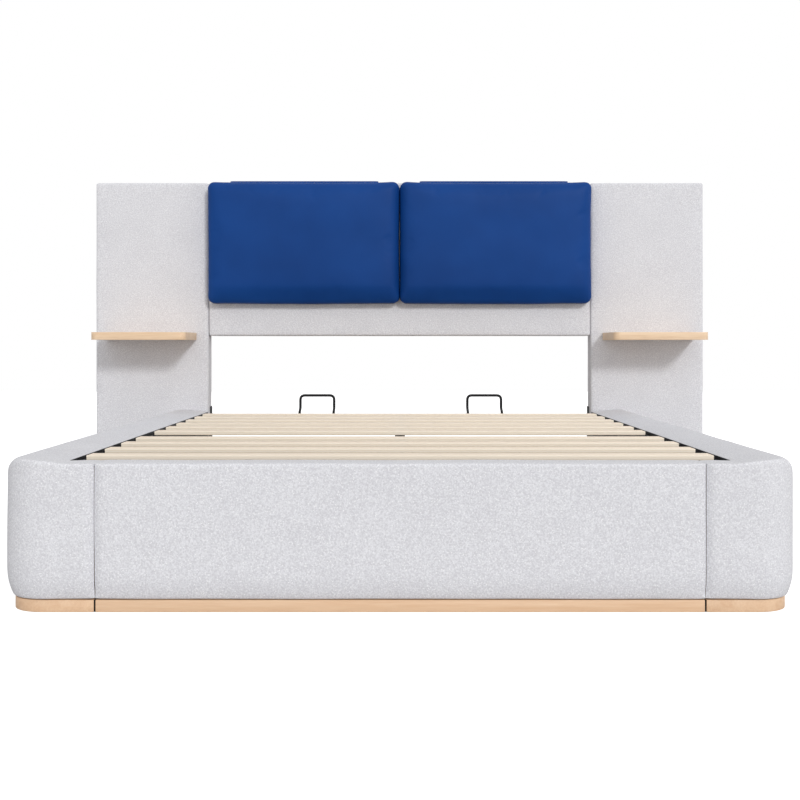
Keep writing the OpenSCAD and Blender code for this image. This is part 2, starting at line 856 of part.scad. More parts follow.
module floor_battens() {
    color(timber_color) {
        both_sides() translate([batten_x, foot_in - lining_t, batten_z])
            cube([batten, inner_l + lining_t, batten]);
        translate([-batten_x + fit, foot_in - lining_t, batten_z])
            cube([2 * (batten_x - fit), batten, batten]);
        translate([-batten_x + fit, head_rail_y - batten, batten_z])
            cube([2 * (batten_x - fit), batten, batten]);
    }
}

module floor_beams() {
    color(timber_color) for (y = [-beam_y, beam_y])
        translate([-batten_x, y - beam_w / 2, batten_z]) cube([2 * batten_x, beam_w, batten]);
}

module feet() {
    color(black) {
        for (x = [-beam_foot_x, beam_foot_x])
            for (y = [-beam_y, beam_y])
                translate([x, y, 0]) cylinder(batten_z, foot_d / 2, foot_d / 2);
        both_sides() for (x = [stile_w, wing_w - stile_w])
            translate([half_w + x, head_face + head_t / 2, 0])
                cylinder(glide_h, glide_d / 2, glide_d / 2);
    }
}

module floor_panels() {
    color(timber_color) for (i = [0:2])
        translate([-half_w + fit, panel_joints[i] + fit, batten_top])
            cube([inner_w - 2 * fit, panel_joints[i + 1] - panel_joints[i] - 2 * fit, floor_t]);
}

// Draws a side view, given as distance from the headboard and height, as a plate
module side_plate(x, t) {
    translate([x, head_face, 0]) rotate([90, 0, -90]) linear_extrude(t) children();
}

// Round pin or boss across the bed, from x inwards
module cross_pin(p, x, l, r) {
    side_plate(x, l) translate(p) circle(r);
}

// Side view of a link with round eyes that are wider than its shank
module link_view(p, q, w) {
    v = q - p;
    translate(p) circle(w / 2);
    translate(q) circle(w / 2);
    translate(p) rotate(angle_of(v)) translate([0, -shank_share * w / 2]) square([norm(v), shank_share * w]);
}

module lift_base_plate() {
    color(black) {
        difference() {
            side_plate(half_w, steel_t) {
                translate([strut_pivot[0] - ear_r, plate_low])
                    square([front_pivot[0] - strut_pivot[0] + 2 * ear_r, plate_high - plate_low]);
                for (p = [rear_pivot, front_pivot]) {
                    translate(p) circle(ear_r);
                    translate([p[0] - shank_share * ear_r, plate_low])
                        square([2 * shank_share * ear_r, p[1] - plate_low]);
                }
            }
            plate_bolt_axes() bolt_hole(bolt_grip);
        }
        cross_pin(rear_pivot, plate_in, steel_t + plate_clear, pin_r);
        cross_pin(front_pivot, plate_in, plate_in - front_x - plate_clear, boss_r);
        headed_pin(front_pivot, plate_in, front_x - steel_t - fit);
        cross_pin(strut_pivot, plate_in, plate_in - strut_out, boss_r);
        headed_pin(strut_pivot, plate_in, strut_in - fit);
    }
}

// Pin from x to the far side of what turns on it, with a head there
module headed_pin(p, x, far_x) {
    cross_pin(p, x, x - far_x, pin_r);
    cross_pin(p, far_x, pin_head_t, boss_r);
}

module rear_link() {
    color(black) {
        difference() {
            side_plate(rear_x, steel_t) link_view(rear_pivot, rear_top, link_w);
            cross_pin(rear_pivot, rear_x + cut, steel_t + 2 * cut, pin_r + pin_clear);
        }
        cross_pin(rear_top, rear_x - steel_t, rear_x - steel_t - bar_x - fit, boss_r);
        headed_pin(rear_top, rear_x - steel_t, bar_x - steel_t - fit);
    }
}

module front_link() {
    color(black) difference() {
        side_plate(front_x, steel_t) link_view(front_pivot, front_top, link_w);
        cross_pin(front_pivot, front_x + cut, steel_t + 2 * cut, pin_r + pin_clear);
    }
}

module upper_bar() {
    color(black) {
        difference() {
            side_plate(bar_x, steel_t) {
                link_view(strut_top, rear_top, link_w);
                link_view(rear_top, front_top, link_w);
                translate([strut_top[0] - shank_share * link_w / 2, strut_top[1]])
                    square([front_top[0] - strut_top[0] + shank_share * link_w, tube_z - strut_top[1]]);
            }
            cross_pin(rear_top, bar_x + cut, steel_t + 2 * cut, pin_r + pin_clear);
        }
        cross_pin(front_top, bar_x - steel_t, steel_t, boss_r);
        cross_pin(strut_top, bar_x - steel_t, bar_x - steel_t - strut_in, stud_r);
        cross_pin(strut_top, strut_in, pin_head_t, rod_eye_r);
    }
}

// Places a piece drawn along +Z on the line of a gas strut
module on_strut() {
    translate([strut_x, head_face - strut_pivot[0], strut_pivot[1]])
        rotate([90 - angle_of(strut_rest), 0, 0]) children();
}

module strut_eye(bore_r, outer_r) {
    rotate([0, 90, 0]) translate([0, 0, -strut_d / 2 + fit]) difference() {
        cylinder(strut_d - 2 * fit, outer_r, outer_r);
        translate([0, 0, -cut]) cylinder(strut_d + 2 * cut, bore_r, bore_r);
    }
}

module gas_cylinder() {
    inner_r = strut_d / 2 - strut_wall;
    color(black) on_strut() {
        strut_eye(pin_r + pin_clear, eye_r);
        difference() {
            translate([0, 0, cylinder_s]) cylinder(cylinder_l, strut_d / 2, strut_d / 2);
            translate([0, 0, eye_r + guide_l / 2])
                cylinder(cylinder_l - guide_l * 1.5, inner_r, inner_r);
            translate([0, 0, cylinder_l / 2])
                cylinder(cylinder_l, rod_d / 2 + pin_clear, rod_d / 2 + pin_clear);
        }
    }
}

module gas_rod() {
    l = norm(strut_rest);
    inner_r = strut_d / 2 - strut_wall - 2 * pin_clear;
    foot_s = eye_r + guide_l;
    color(steel_color) on_strut() {
        translate([0, 0, l]) strut_eye(stud_r + stud_clear, rod_eye_r);
        translate([0, 0, foot_s]) cylinder(l - foot_s - rod_eye_r + cut, rod_d / 2, rod_d / 2);
        translate([0, 0, foot_s]) cylinder(guide_l / 2, inner_r, inner_r);
    }
}

module square_tube(l) {
    difference() {
        cube([tube, l, tube]);
        translate([tube_wall, -cut, tube_wall])
            cube([tube - 2 * tube_wall, l + 2 * cut, tube - 2 * tube_wall]);
    }
}

module cross_tube() {
    translate([-platform_x + tube, 0, tube_z]) rotate([0, 0, -90]) mirror([1, 0, 0])
        square_tube(2 * (platform_x - tube));
}

module platform_side_tubes() {
    color(black) both_sides() {
        translate([platform_x - tube, platform_foot, tube_z]) square_tube(joint_y - fit - platform_foot);
        translate([platform_x - tube, joint_y + fit, tube_z]) square_tube(platform_head - joint_y - fit);
    }
}

module platform_cross_tubes() {
    color(black) difference() {
        for (y = cross_tube_y)
            translate([0, y, 0]) cross_tube();
        both_sides() joint_bolt_axes() translate([0, 0, -tube * 2])
            cylinder(tube * 4, bolt_d / 2 + bolt_clear, bolt_d / 2 + bolt_clear);
    }
}

module platform_centre_tubes() {
    color(black) for (i = [0, 2])
        translate([-tube / 2, cross_tube_y[i] + tube, tube_z])
            square_tube(cross_tube_y[i + 1] - cross_tube_y[i] - tube);
}

module joint_bolt_axes() {
    for (x = joint_bolts_x)
        translate([x, joint_y, tube_z + tube / 2]) rotate([-90, 0, 0]) children();
}

module frame_joint_bolts() {
    reach = tube + fit;
    color(steel_color) both_sides() joint_bolt_axes() {
        translate([0, 0, -reach - bolt_head_h]) cylinder(2 * (reach + bolt_head_h), bolt_d / 2, bolt_d / 2);
        translate([0, 0, reach]) cylinder(bolt_head_h, bolt_d, bolt_d, $fn = 6);
        translate([0, 0, -reach - bolt_head_h]) cylinder(bolt_head_h, bolt_d, bolt_d, $fn = 6);
    }
}

module slat() {
    translate([-slat_end, 0, slat_z]) rotate([90, 0, 90]) linear_extrude(2 * slat_end)
        union() {
            translate([slat_edge_r, 0]) square([slat_w - 2 * slat_edge_r, slat_t]);
            translate([0, slat_edge_r]) square([slat_w, slat_t - 2 * slat_edge_r]);
            for (x = [slat_edge_r, slat_w - slat_edge_r])
                for (z = [slat_edge_r, slat_t - slat_edge_r])
                    translate([x, z]) circle(slat_edge_r);
        }
}

module slats_foot() {
    color(oak_color) for (y = foot_slat_y)
        translate([0, y, 0]) slat();
}

module slats_head() {
    color(oak_color) for (y = head_slat_y)
        translate([0, y, 0]) slat();
}

module slat_holders() {
    lip_h = slat_t * 0.7;
    pad_x = platform_x - tube;
    color(black) for (y = concat(foot_slat_y, head_slat_y)) {
        both_sides() {
            translate([pad_x, y, tube_top]) cube([slat_end + holder_t - pad_x, slat_w, holder_t]);
            translate([slat_end, y, tube_top]) cube([holder_t, slat_w, holder_t + lip_h]);
        }
        translate([-tube / 2, y, tube_top]) cube([tube, slat_w, holder_t]);
    }
}

module wire_between(p, q) {
    v = q - p;
    translate(p) rotate([-atan2(v[1], v[2]), 0, 0]) cylinder(norm(v), wire_r, wire_r);
}

module retainer() {
    arm_x = retainer_w / 2;
    top_z = retainer_top - wire_r;
    color(black) {
        for (s = [-1, 1]) {
            foot = [retainer_x + s * arm_x, retainer_foot_y, tube_top + tab_t];
            knee = [foot[0], retainer_foot_y, knee_z];
            heel = [foot[0], retainer_top_y, heel_z];
            wire_between(foot, knee);
            wire_between(knee, heel);
            wire_between(heel, [foot[0], retainer_top_y, top_z - retainer_r]);
            translate(knee) sphere(knuckle_r);
            translate(heel) sphere(knuckle_r);
            translate([foot[0] - s * retainer_r, retainer_top_y, top_z - retainer_r])
                rotate([90, 0, 0]) rotate([0, 0, s > 0 ? 0 : 90]) rotate_extrude(angle = 90)
                    translate([retainer_r, 0]) circle(wire_r);
            translate([foot[0] - tube / 2, retainer_foot_y - tube / 3, tube_top])
                cube([tube, tube * 2 / 3, tab_t]);
        }
        translate([retainer_x - arm_x + retainer_r, retainer_top_y, top_z]) rotate([0, 90, 0])
            cylinder(retainer_w - 2 * retainer_r, wire_r, wire_r);
    }
}

module rest_brackets() {
    color(black) both_sides() for (y = rest_y) {
        translate([half_w - bracket_t, y, rest_top - rest_w]) cube([bracket_t, rest_w, rest_w]);
        translate([platform_x - tube, y, rest_top - bracket_t])
            cube([half_w - platform_x + tube, rest_w, bracket_t]);
    }
}

module rest_pads() {
    color(black) both_sides() for (y = rest_y)
        translate([platform_x - tube * 0.9, y + rest_w * 0.1, rest_top])
            cube([tube * 0.8, rest_w * 0.8, rest_pad_t]);
}

// Points of a rounded rectangle, centred, with sides that draw in except along the top
function cushion_outline(inset, draw) = [
    for (k = [0:3])
        let (sx = [1, -1, -1, 1][k], sz = [1, 1, -1, -1][k])
            each concat(
                [for (i = [0:outline_steps / 2])
                    let (a = 90 * k + 90 * i / (outline_steps / 2))
                        [
                            sx * (cushion_w / 2 - cushion_r) + max(cushion_r - inset, 1) * cos(a),
                            sz * (cushion_h / 2 - cushion_r) + max(cushion_r - inset, 1) * sin(a)
                        ]],
                [for (i = [1:outline_steps - 1])
                    let (
                        t = i / outline_steps,
                        pull = draw * sin(180 * t) * (k == 0 ? 0 : 1),
                        run = k % 2 == 0 ? cushion_w - 2 * cushion_r : cushion_h - 2 * cushion_r,
                        along = run * (0.5 - t),
                        out = max(cushion_r - inset, 1) - pull
                    )
                        k == 0 ? [along, cushion_h / 2 - cushion_r + out] :
                        k == 1 ? [-(cushion_w / 2 - cushion_r + out), along] :
                        k == 2 ? [-along, -(cushion_h / 2 - cushion_r + out)] :
                            [cushion_w / 2 - cushion_r + out, -along]]
            )
];

// Rings of the cushion from its back to its middle, as [depth, inset, scale]
cushion_rings = concat(
    [[0, back_edge_r, 1], [back_edge_r, 0, 1], [cushion_side_t / 2, 0, 1]],
    [for (i = [0:edge_steps])
        let (a = 90 * i / edge_steps)
            [cushion_side_t + cushion_edge_r * sin(a), cushion_edge_r * (1 - cos(a)), 1]],
    [for (i = [1:crown_steps - 1])
        let (s = 1 - i / crown_steps)
            [cushion_t - cushion_crown * s * s, cushion_edge_r, s]]
);

// Draws a point of the outline inwards, so that the crown's inner rings become ovals
function toward_oval(p, s) =
    let (
        a = atan2(p[1] / cushion_h, p[0] / cushion_w),
        oval = [(cushion_w / 2 - cushion_edge_r) * cos(a), (cushion_h / 2 - cushion_edge_r) * sin(a)]
    )
        s * (s * p + (1 - s) * oval);

module cushion() {
    rings = [for (g = cushion_rings)
        let (draw = g[0] > back_edge_r ? cushion_draw : 0)
            [for (p = cushion_outline(g[1], draw))
                let (q = toward_oval(p, g[2]))
                    [q[0], -g[0], q[1]]]];
    n = len(rings[0]);
    last = len(rings) - 1;
    points = concat([[0, 0, 0]], [for (r = rings) each r], [[0, -cushion_t, 0]]);
    tip = len(points) - 1;
    color(blue) translate([cushion_x, head_face - fit, cushion_z]) polyhedron(points, concat(
        [for (i = [0:n - 1]) [0, 1 + i, 1 + (i + 1) % n]],
        [for (j = [0:last - 1]) for (i = [0:n - 1]) each [
            [1 + j * n + i, 1 + (j + 1) * n + i, 1 + j * n + (i + 1) % n],
            [1 + j * n + (i + 1) % n, 1 + (j + 1) * n + i, 1 + (j + 1) * n + (i + 1) % n]
        ]],
        [for (i = [0:n - 1]) [1 + last * n + i, tip, 1 + last * n + (i + 1) % n]]
    ));
}

module cushion_flap() {
    tail_z = cushion_z + cushion_h / 2;
    back_y = head_t + fit;
    color(blue) translate([cushion_x - flap_w / 2, head_face, 0]) rotate([90, 0, 90])
        linear_extrude(flap_w) polygon([
            [-flap_tail, tail_z],
            [-fit, tail_z],
            [-fit, head_top + fit],
            [back_y, head_top + fit],
            [back_y, flap_top - flap_drop],
            [back_y + flap_t, flap_top - flap_drop],
            [back_y + flap_t, flap_top],
            [-flap_tail, flap_top],
        ]);
}

left_side() side_rail_core();  // side_rail_core_left
side_rail_core();  // side_rail_core_right
left_side() side_rail_cover();  // side_rail_cover_left
side_rail_cover();  // side_rail_cover_right
footboard_core();
footboard_cover();
left_side() plinth_side();  // plinth_left
plinth_side();  // plinth_right
plinth_foot();
left_side() wing_core();  // wing_core_left
wing_core();  // wing_core_right
left_side() wing_cover();  // wing_cover_left
wing_cover();  // wing_cover_right
center_panel_core();
center_panel_cover();
headboard_back_cloth();
left_side() shelf();  // shelf_left
shelf();  // shelf_right
left_side() shelf_bracket();  // shelf_bracket_left
shelf_bracket();  // shelf_bracket_right
left_side() rail_lining();  // rail_lining_left
rail_lining();  // rail_lining_right
foot_lining();
head_rail();
head_rail_brackets();
floor_battens();
floor_beams();
feet();
floor_panels();
corner_brackets();
headboard_bolts();
panel_bolts();
frame_bolts();
left_side() lift_base_plate();  // lift_base_plate_left
lift_base_plate();  // lift_base_plate_right
rest_brackets();
rest_pads();
left_side() rear_link();  // rear_link_left
rear_link();  // rear_link_right
left_side() front_link();  // front_link_left
front_link();  // front_link_right
left_side() gas_cylinder();  // gas_cylinder_left
gas_cylinder();  // gas_cylinder_right
left_side() gas_rod();  // gas_rod_left
gas_rod();  // gas_rod_right
left_side() upper_bar();  // upper_bar_left
upper_bar();  // upper_bar_right
platform_side_tubes();
platform_cross_tubes();
platform_centre_tubes();
frame_joint_bolts();
slats_foot();
slats_head();
slat_holders();
left_side() retainer();  // retainer_left
retainer();  // retainer_right
left_side() cushion();  // cushion_left
cushion();  // cushion_right
left_side() cushion_flap();  // cushion_flap_left
cushion_flap();  // cushion_flap_right
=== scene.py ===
import json
import math

import bmesh
import bpy
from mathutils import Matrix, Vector, noise
from mathutils.bvhtree import BVHTree


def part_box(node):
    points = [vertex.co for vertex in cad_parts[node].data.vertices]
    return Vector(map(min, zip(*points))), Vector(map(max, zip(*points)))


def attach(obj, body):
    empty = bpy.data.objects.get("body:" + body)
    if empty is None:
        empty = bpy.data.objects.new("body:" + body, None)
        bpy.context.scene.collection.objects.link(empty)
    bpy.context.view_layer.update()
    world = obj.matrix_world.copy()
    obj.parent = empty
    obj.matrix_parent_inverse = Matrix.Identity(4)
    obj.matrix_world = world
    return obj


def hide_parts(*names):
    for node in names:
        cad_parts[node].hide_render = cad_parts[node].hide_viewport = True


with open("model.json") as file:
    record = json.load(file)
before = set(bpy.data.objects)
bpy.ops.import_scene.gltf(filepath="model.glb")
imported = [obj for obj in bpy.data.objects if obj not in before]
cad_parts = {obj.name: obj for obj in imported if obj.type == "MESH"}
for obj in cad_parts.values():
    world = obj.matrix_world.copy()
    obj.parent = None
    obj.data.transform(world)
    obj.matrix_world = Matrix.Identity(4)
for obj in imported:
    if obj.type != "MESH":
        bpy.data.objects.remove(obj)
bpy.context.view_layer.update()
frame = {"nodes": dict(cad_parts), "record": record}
nodes = frame["nodes"]
print("frame loaded")

fitSet = {"liningGap": 0.0003, "seamShift": 0.0045}
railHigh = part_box("side_rail_cover_right")[1]
footLow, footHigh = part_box("footboard_cover")

# Planes of the bed in metres, read from the model itself
bed = {
    "innerX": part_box("floor_panels")[1].x + fitSet["liningGap"],
    "outerX": railHigh.x,
    "footY": footLow.y,
    "footInY": footHigh.y,
    "headY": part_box("wing_cover_right")[0].y,
    "railTop": railHigh.z,
    "footTop": footHigh.z,
    "hemZ": footLow.z,
    "seamX": footHigh.x + fitSet["seamShift"],
    "coreTop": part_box("footboard_core")[1].z,
}


def mix(a, b, t):
    return a + (b - a) * t


def ease(t):
    t = min(max(t, 0.0), 1.0)
    return t * t * (3 - 2 * t)


cameraSet = {
    "focalPixels": 1216.0,
    "framePixels": 800,
    "centrePixel": (398.85, 345.0),
    "frontGap": 2.748,  # from the lens to the footboard's face
    "height": 0.608,
    "offCentre": -0.0031,
    "sensor": 36.0,
    "farClip": 100.0,
}


def makeCamera():
    s = cameraSet
    size = s["framePixels"]
    data = bpy.data.cameras.new("photoCamera")
    data.sensor_width = s["sensor"]
    data.lens = s["focalPixels"] * s["sensor"] / size
    data.shift_x = (size / 2 - s["centrePixel"][0]) / size
    data.shift_y = (s["centrePixel"][1] - size / 2) / size
    data.clip_end = s["farClip"]
    camera = bpy.data.objects.new("photoCamera", data)
    camera.location = (s["offCentre"], bed["footY"] - s["frontGap"], s["height"])
    camera.rotation_euler = (math.radians(90), 0, 0)
    bpy.context.scene.collection.objects.link(camera)
    bpy.context.scene.camera = camera


# Each lamp: degrees to the right of the camera's line, degrees up, degrees across, strength
lampSet = {
    "key": (22, 23.5, 9, 1.19),
    "fill": (-20, 8, 50, 0.46),
    "side": (78, 6, 50, 0.44),
    "above": (8, 74, 60, 0.34),
}
lampDistance = 6


def makeLamps():
    for name, (right, up, across, strength) in lampSet.items():
        data = bpy.data.lights.new(name + "Light", "SUN")
        data.angle = math.radians(across)
        data.energy = strength
        turn, rise = math.radians(right), math.radians(up)
        level = math.cos(rise)
        towards = Vector((math.sin(turn) * level, -math.cos(turn) * level, math.sin(rise)))
        lamp = bpy.data.objects.new(name + "Light", data)
        lamp.location = towards * lampDistance
        lamp.rotation_euler = towards.to_track_quat("Z", "Y").to_euler()
        bpy.context.scene.collection.objects.link(lamp)


worldSet = {"light": 0.56, "seen": 1.0}


def makeWorld():
    world = bpy.data.worlds.new("studioWorld")
    bpy.context.scene.world = world
    world.use_nodes = True
    tree = world.node_tree
    dim = tree.nodes["Background"]
    dim.inputs["Color"].default_value = (1, 1, 1, 1)
    dim.inputs["Strength"].default_value = worldSet["light"]
    bright = tree.nodes.new("ShaderNodeBackground")
    bright.inputs["Color"].default_value = (1, 1, 1, 1)
    bright.inputs["Strength"].default_value = worldSet["seen"]
    # The bright white is only for rays that show it, and the dim one lights the bed
    rays = tree.nodes.new("ShaderNodeLightPath")
    seen = rays.outputs["Is Camera Ray"]
    for kind in ("Is Glossy Ray", "Is Transmission Ray"):
        either = tree.nodes.new("ShaderNodeMath")
        either.operation = "MAXIMUM"
        tree.links.new(seen, either.inputs[0])
        tree.links.new(rays.outputs[kind], either.inputs[1])
        seen = either.outputs[0]
    blended = tree.nodes.new("ShaderNodeMixShader")
    tree.links.new(seen, blended.inputs["Fac"])
    tree.links.new(dim.outputs[0], blended.inputs[1])
    tree.links.new(bright.outputs[0], blended.inputs[2])
    tree.links.new(blended.outputs[0], tree.nodes["World Output"].inputs["Surface"])


def newMaterial(name, values):
    material = bpy.data.materials.new(name)
    material.use_nodes = True
    shader = material.node_tree.nodes["Principled BSDF"]
    for socket, value in values.items():
        shader.inputs[socket].default_value = value
    return material, material.node_tree, shader


def addNode(tree, kind, inputs=None, **settings):
    node = tree.nodes.new("ShaderNode" + kind)
    for key, value in settings.items():
        setattr(node, key, value)
    for key, value in (inputs or {}).items():
        if hasattr(value, "is_linked"):
            tree.links.new(value, node.inputs[key])
        else:
            node.inputs[key].default_value = value
    return node


floorSet = {
    "reach": 12.0,
    "drop": 0.0005,
    "lift": 0.85,  # light added where the camera sees it
    "shader": {
        "Base Color": (0.58, 0.58, 0.58, 1),
        "Roughness": 0.9,
        "Specular IOR Level": 0.1,
        "Emission Color": (1, 1, 1, 1),
    },
}


def makeFloor():
    s = floorSet
    bm = bmesh.new()
    bmesh.ops.create_grid(bm, x_segments=1, y_segments=1, size=s["reach"])
    mesh = bpy.data.meshes.new("studioFloor")
    bm.to_mesh(mesh)
    bm.free()
    floor = bpy.data.objects.new("studioFloor", mesh)
    floor.location.z = -s["drop"]
    bpy.context.scene.collection.objects.link(floor)
    material, tree, shader = newMaterial("studioWhite", s["shader"])
    rays = addNode(tree, "LightPath")
    lift = addNode(
        tree, "Math", {0: rays.outputs["Is Camera Ray"], 1: s["lift"]}, operation="MULTIPLY"
    )
    tree.links.new(lift.outputs[0], shader.inputs["Emission Strength"])
    mesh.materials.append(material)


makeCamera()
makeLamps()
makeWorld()
makeFloor()
bpy.context.scene.view_settings.view_transform = "Standard"
print("camera, lamps and floor made")


# From display values of 0-255 to the linear values of a socket
def toLinear(rgb):
    shown = [c / 255 for c in rgb]
    linear = [((v + 0.055) / 1.055) ** 2.4 if v > 0.04 else v / 12.92 for v in shown]
    return (*linear, 1.0)


def lighter(rgb, step):
    return tuple(min(c + step, 255) for c in rgb)


def colourRamp(tree, factor, places, colours):
    ramp = addNode(tree, "ValToRGB", {"Fac": factor})
    while len(ramp.color_ramp.elements) < len(places):
        ramp.color_ramp.elements.new(0.5)
    for element, place, colour in zip(ramp.color_ramp.elements, places, colours):
        element.position = place
        element.color = toLinear(colour)
    return ramp.outputs["Color"]


def objectPlace(tree, scale=(1, 1, 1)):
    place = addNode(tree, "TexCoord").outputs["Object"]
    return addNode(tree, "Mapping", {"Vector": place, "Scale": scale}).outputs[0]


def bumpFrom(tree, height, strength, distance, under=None):
    inputs = {"Height": height, "Strength": strength, "Distance": distance}
    if under is not None:
        inputs["Normal"] = under
    return addNode(tree, "Bump", inputs).outputs["Normal"]


loopedFabricSet = {
    "dark": (205, 204, 209),
    "middle": (216, 216, 220),
    "light": (228, 228, 232),
    "toneStops": (0.36, 0.5, 0.64),
    "fleck": (240, 240, 242),
    "fleckStops": (0.14, 0.26),
    "loopSize": 270.0,
    "fleckSize": 150.0,
    "cloudSize": 9.0,
    "cloudShare": 0.12,
    "bump": 0.0012,
    "knotBump": 0.25,
    "loopBump": 0.4,
    "shader": {
        "Roughness": 0.95,
        "Sheen Weight": 0.08,
        "Sheen Roughness": 0.6,
        "Specular IOR Level": 0.1,
    },
}


def loopedFabric():
    s = loopedFabricSet
    material, tree, shader = newMaterial("loopedFabric", s["shader"])
    place = objectPlace(tree)
    loops = addNode(tree, "TexNoise", {
        "Vector": place, "Scale": s["loopSize"],
        "Detail": 2.5, "Roughness": 0.6, "Distortion": 0.4,
    })
    knots = addNode(tree, "TexVoronoi", {"Vector": place, "Scale": s["fleckSize"]}, feature="F1")
    cloud = addNode(tree, "TexNoise", {"Vector": place, "Scale": s["cloudSize"], "Detail": 3.0})
    drift = addNode(
        tree, "Math", {0: cloud.outputs["Fac"], 1: s["cloudShare"], 2: -s["cloudShare"] / 2},
        operation="MULTIPLY_ADD",
    )
    tone = addNode(tree, "Math", {0: loops.outputs["Fac"], 1: drift.outputs[0]}, operation="ADD")
    tones = (s["dark"], s["middle"], s["light"])
    colour = colourRamp(tree, tone.outputs[0], s["toneStops"], tones)
    whiteToBlack = ((255, 255, 255), (0, 0, 0))
    fleck = colourRamp(tree, knots.outputs["Distance"], s["fleckStops"], whiteToBlack)
    mixed = addNode(
        tree, "Mix", {"Factor": fleck, "A": colour, "B": toLinear(s["fleck"])}, data_type="RGBA"
    )
    tree.links.new(mixed.outputs["Result"], shader.inputs["Base Color"])
    inner = bumpFrom(tree, knots.outputs["Distance"], s["knotBump"], s["bump"])
    outer = bumpFrom(tree, loops.outputs["Fac"], s["loopBump"], s["bump"], inner)
    tree.links.new(outer, shader.inputs["Normal"])
    return material


coatedClothSet = {
    "colours": ((11, 57, 121), (16, 65, 134)),
    "stops": (0.3, 0.7),
    "cloudSize": 4.0,
    "grainSize": 620.0,
    "grainBump": (0.12, 0.0004),  # strength, distance
    "shader": {"Roughness": 0.5, "Specular IOR Level": 0.12},
}


def coatedCloth():
    s = coatedClothSet
    material, tree, shader = newMaterial("coatedCloth", s["shader"])
    place = objectPlace(tree)
    cloud = addNode(tree, "TexNoise", {"Vector": place, "Scale": s["cloudSize"], "Detail": 2.0})
    grain = addNode(tree, "TexVoronoi", {"Vector": place, "Scale": s["grainSize"]}, feature="F1")
    colour = colourRamp(tree, cloud.outputs["Fac"], s["stops"], s["colours"])
    tree.links.new(colour, shader.inputs["Base Color"])
    bump = bumpFrom(tree, grain.outputs["Distance"], *s["grainBump"])
    tree.links.new(bump, shader.inputs["Normal"])
    return material


timberSet = {
    "acrossScale": 16,
    "alongScale": 0.7,
    "stops": (0.38, 0.66),
    "grainBump": (0.12, 0.0006),
    "specular": 0.3,
}


def timberGrain(name, dark, light, along, roughness):
    s = timberSet
    values = {"Roughness": roughness, "Specular IOR Level": s["specular"]}
    material, tree, shader = newMaterial(name, values)
    stretch = [s["alongScale"] if axis == along else s["acrossScale"] for axis in "xyz"]
    place = objectPlace(tree, stretch)
    rings = addNode(tree, "TexNoise", {
        "Vector": place, "Scale": 2.2, "Detail": 6.0, "Roughness": 0.62, "Distortion": 0.6,
    })
    fine = addNode(tree, "TexNoise", {
        "Vector": place, "Scale": 14.0, "Detail": 4.0, "Roughness": 0.7,
    })
    both = addNode(
        tree, "Math", {0: rings.outputs["Fac"], 1: fine.outputs["Fac"]}, operation="ADD"
    )
    half = addNode(tree, "Math", {0: both.outputs[0], 1: 0.5}, operation="MULTIPLY")
    colour = colourRamp(tree, half.outputs[0], s["stops"], (dark, light))
    tree.links.new(colour, shader.inputs["Base Color"])
    tree.links.new(bumpFrom(tree, fine.outputs["Fac"], *s["grainBump"]), shader.inputs["Normal"])
    return material


slatPlySet = {
    "face": ((247, 230, 210), (253, 238, 219)),
    "faceStops": (0.36, 0.62),
    "faceStretch": (0.25, 14, 14),
    # Real ply layers on the slats' edges, lightened with painted light that makes up for the shade
    # on their front faces
    "plyLayersWithPaintedLight": ((241, 226, 205), (251, 241, 225)),
    "layerStops": (0.4, 0.6),
    "layerThickness": 0.0024,
    "flatFrom": 0.7,  # a normal this upright belongs to a face, not to an edge
    "grainBump": (0.08, 0.0004),
    "shader": {"Roughness": 0.62, "Specular IOR Level": 0.2},
}


def layeredPly():
    s = slatPlySet
    material, tree, shader = newMaterial("slatPly", s["shader"])
    place = objectPlace(tree, s["faceStretch"])
    grain = addNode(tree, "TexNoise", {
        "Vector": place, "Scale": 9.0, "Detail": 5.0, "Roughness": 0.65, "Distortion": 0.15,
    })
    face = colourRamp(tree, grain.outputs["Fac"], s["faceStops"], s["face"])
    where = addNode(tree, "TexCoord")
    height = addNode(tree, "SeparateXYZ", {0: where.outputs["Object"]}).outputs["Z"]
    count = addNode(tree, "Math", {0: height, 1: 1 / s["layerThickness"]}, operation="MULTIPLY")
    within = addNode(tree, "Math", {0: count.outputs[0], 1: 1.0}, operation="PINGPONG")
    # Layer colours for the edges, lightened with painted light against the shade on the front
    # faces
    plyLayersWithPaintedLight = colourRamp(tree, within.outputs[0], s["layerStops"], s["plyLayersWithPaintedLight"])
    turned = addNode(tree, "SeparateXYZ", {0: where.outputs["Normal"]}).outputs["Z"]
    upright = addNode(tree, "Math", {0: turned}, operation="ABSOLUTE")
    flat = addNode(
        tree, "Math", {0: upright.outputs[0], 1: s["flatFrom"]}, operation="GREATER_THAN"
    )
    mixed = addNode(
        tree, "Mix", {"Factor": flat.outputs[0], "A": plyLayersWithPaintedLight, "B": face}, data_type="RGBA"
    )
    tree.links.new(mixed.outputs["Result"], shader.inputs["Base Color"])
    tree.links.new(bumpFrom(tree, grain.outputs["Fac"], *s["grainBump"]), shader.inputs["Normal"])
    return material


powderCoatSet = {
    "lighterBy": 9,
    "stops": (0.3, 0.7),
    "cloudSize": 12.0,
    "peelSize": 900.0,
    "peelBump": (0.15, 0.0003),
    "specular": 0.2,
}


def powderCoat(name, colour, roughness):
    s = powderCoatSet
    values = {"Roughness": roughness, "Specular IOR Level": s["specular"]}
    material, tree, shader = newMaterial(name, values)
    place = objectPlace(tree)
    peel = addNode(tree, "TexNoise", {"Vector": place, "Scale": s["peelSize"], "Detail": 2.0})
    cloud = addNode(tree, "TexNoise", {"Vector": place, "Scale": s["cloudSize"], "Detail": 3.0})
    tones = (colour, lighter(colour, s["lighterBy"]))
    tone = colourRamp(tree, cloud.outputs["Fac"], s["stops"], tones)
    tree.links.new(tone, shader.inputs["Base Color"])
    tree.links.new(bumpFrom(tree, peel.outputs["Fac"], *s["peelBump"]), shader.inputs["Normal"])
    return material


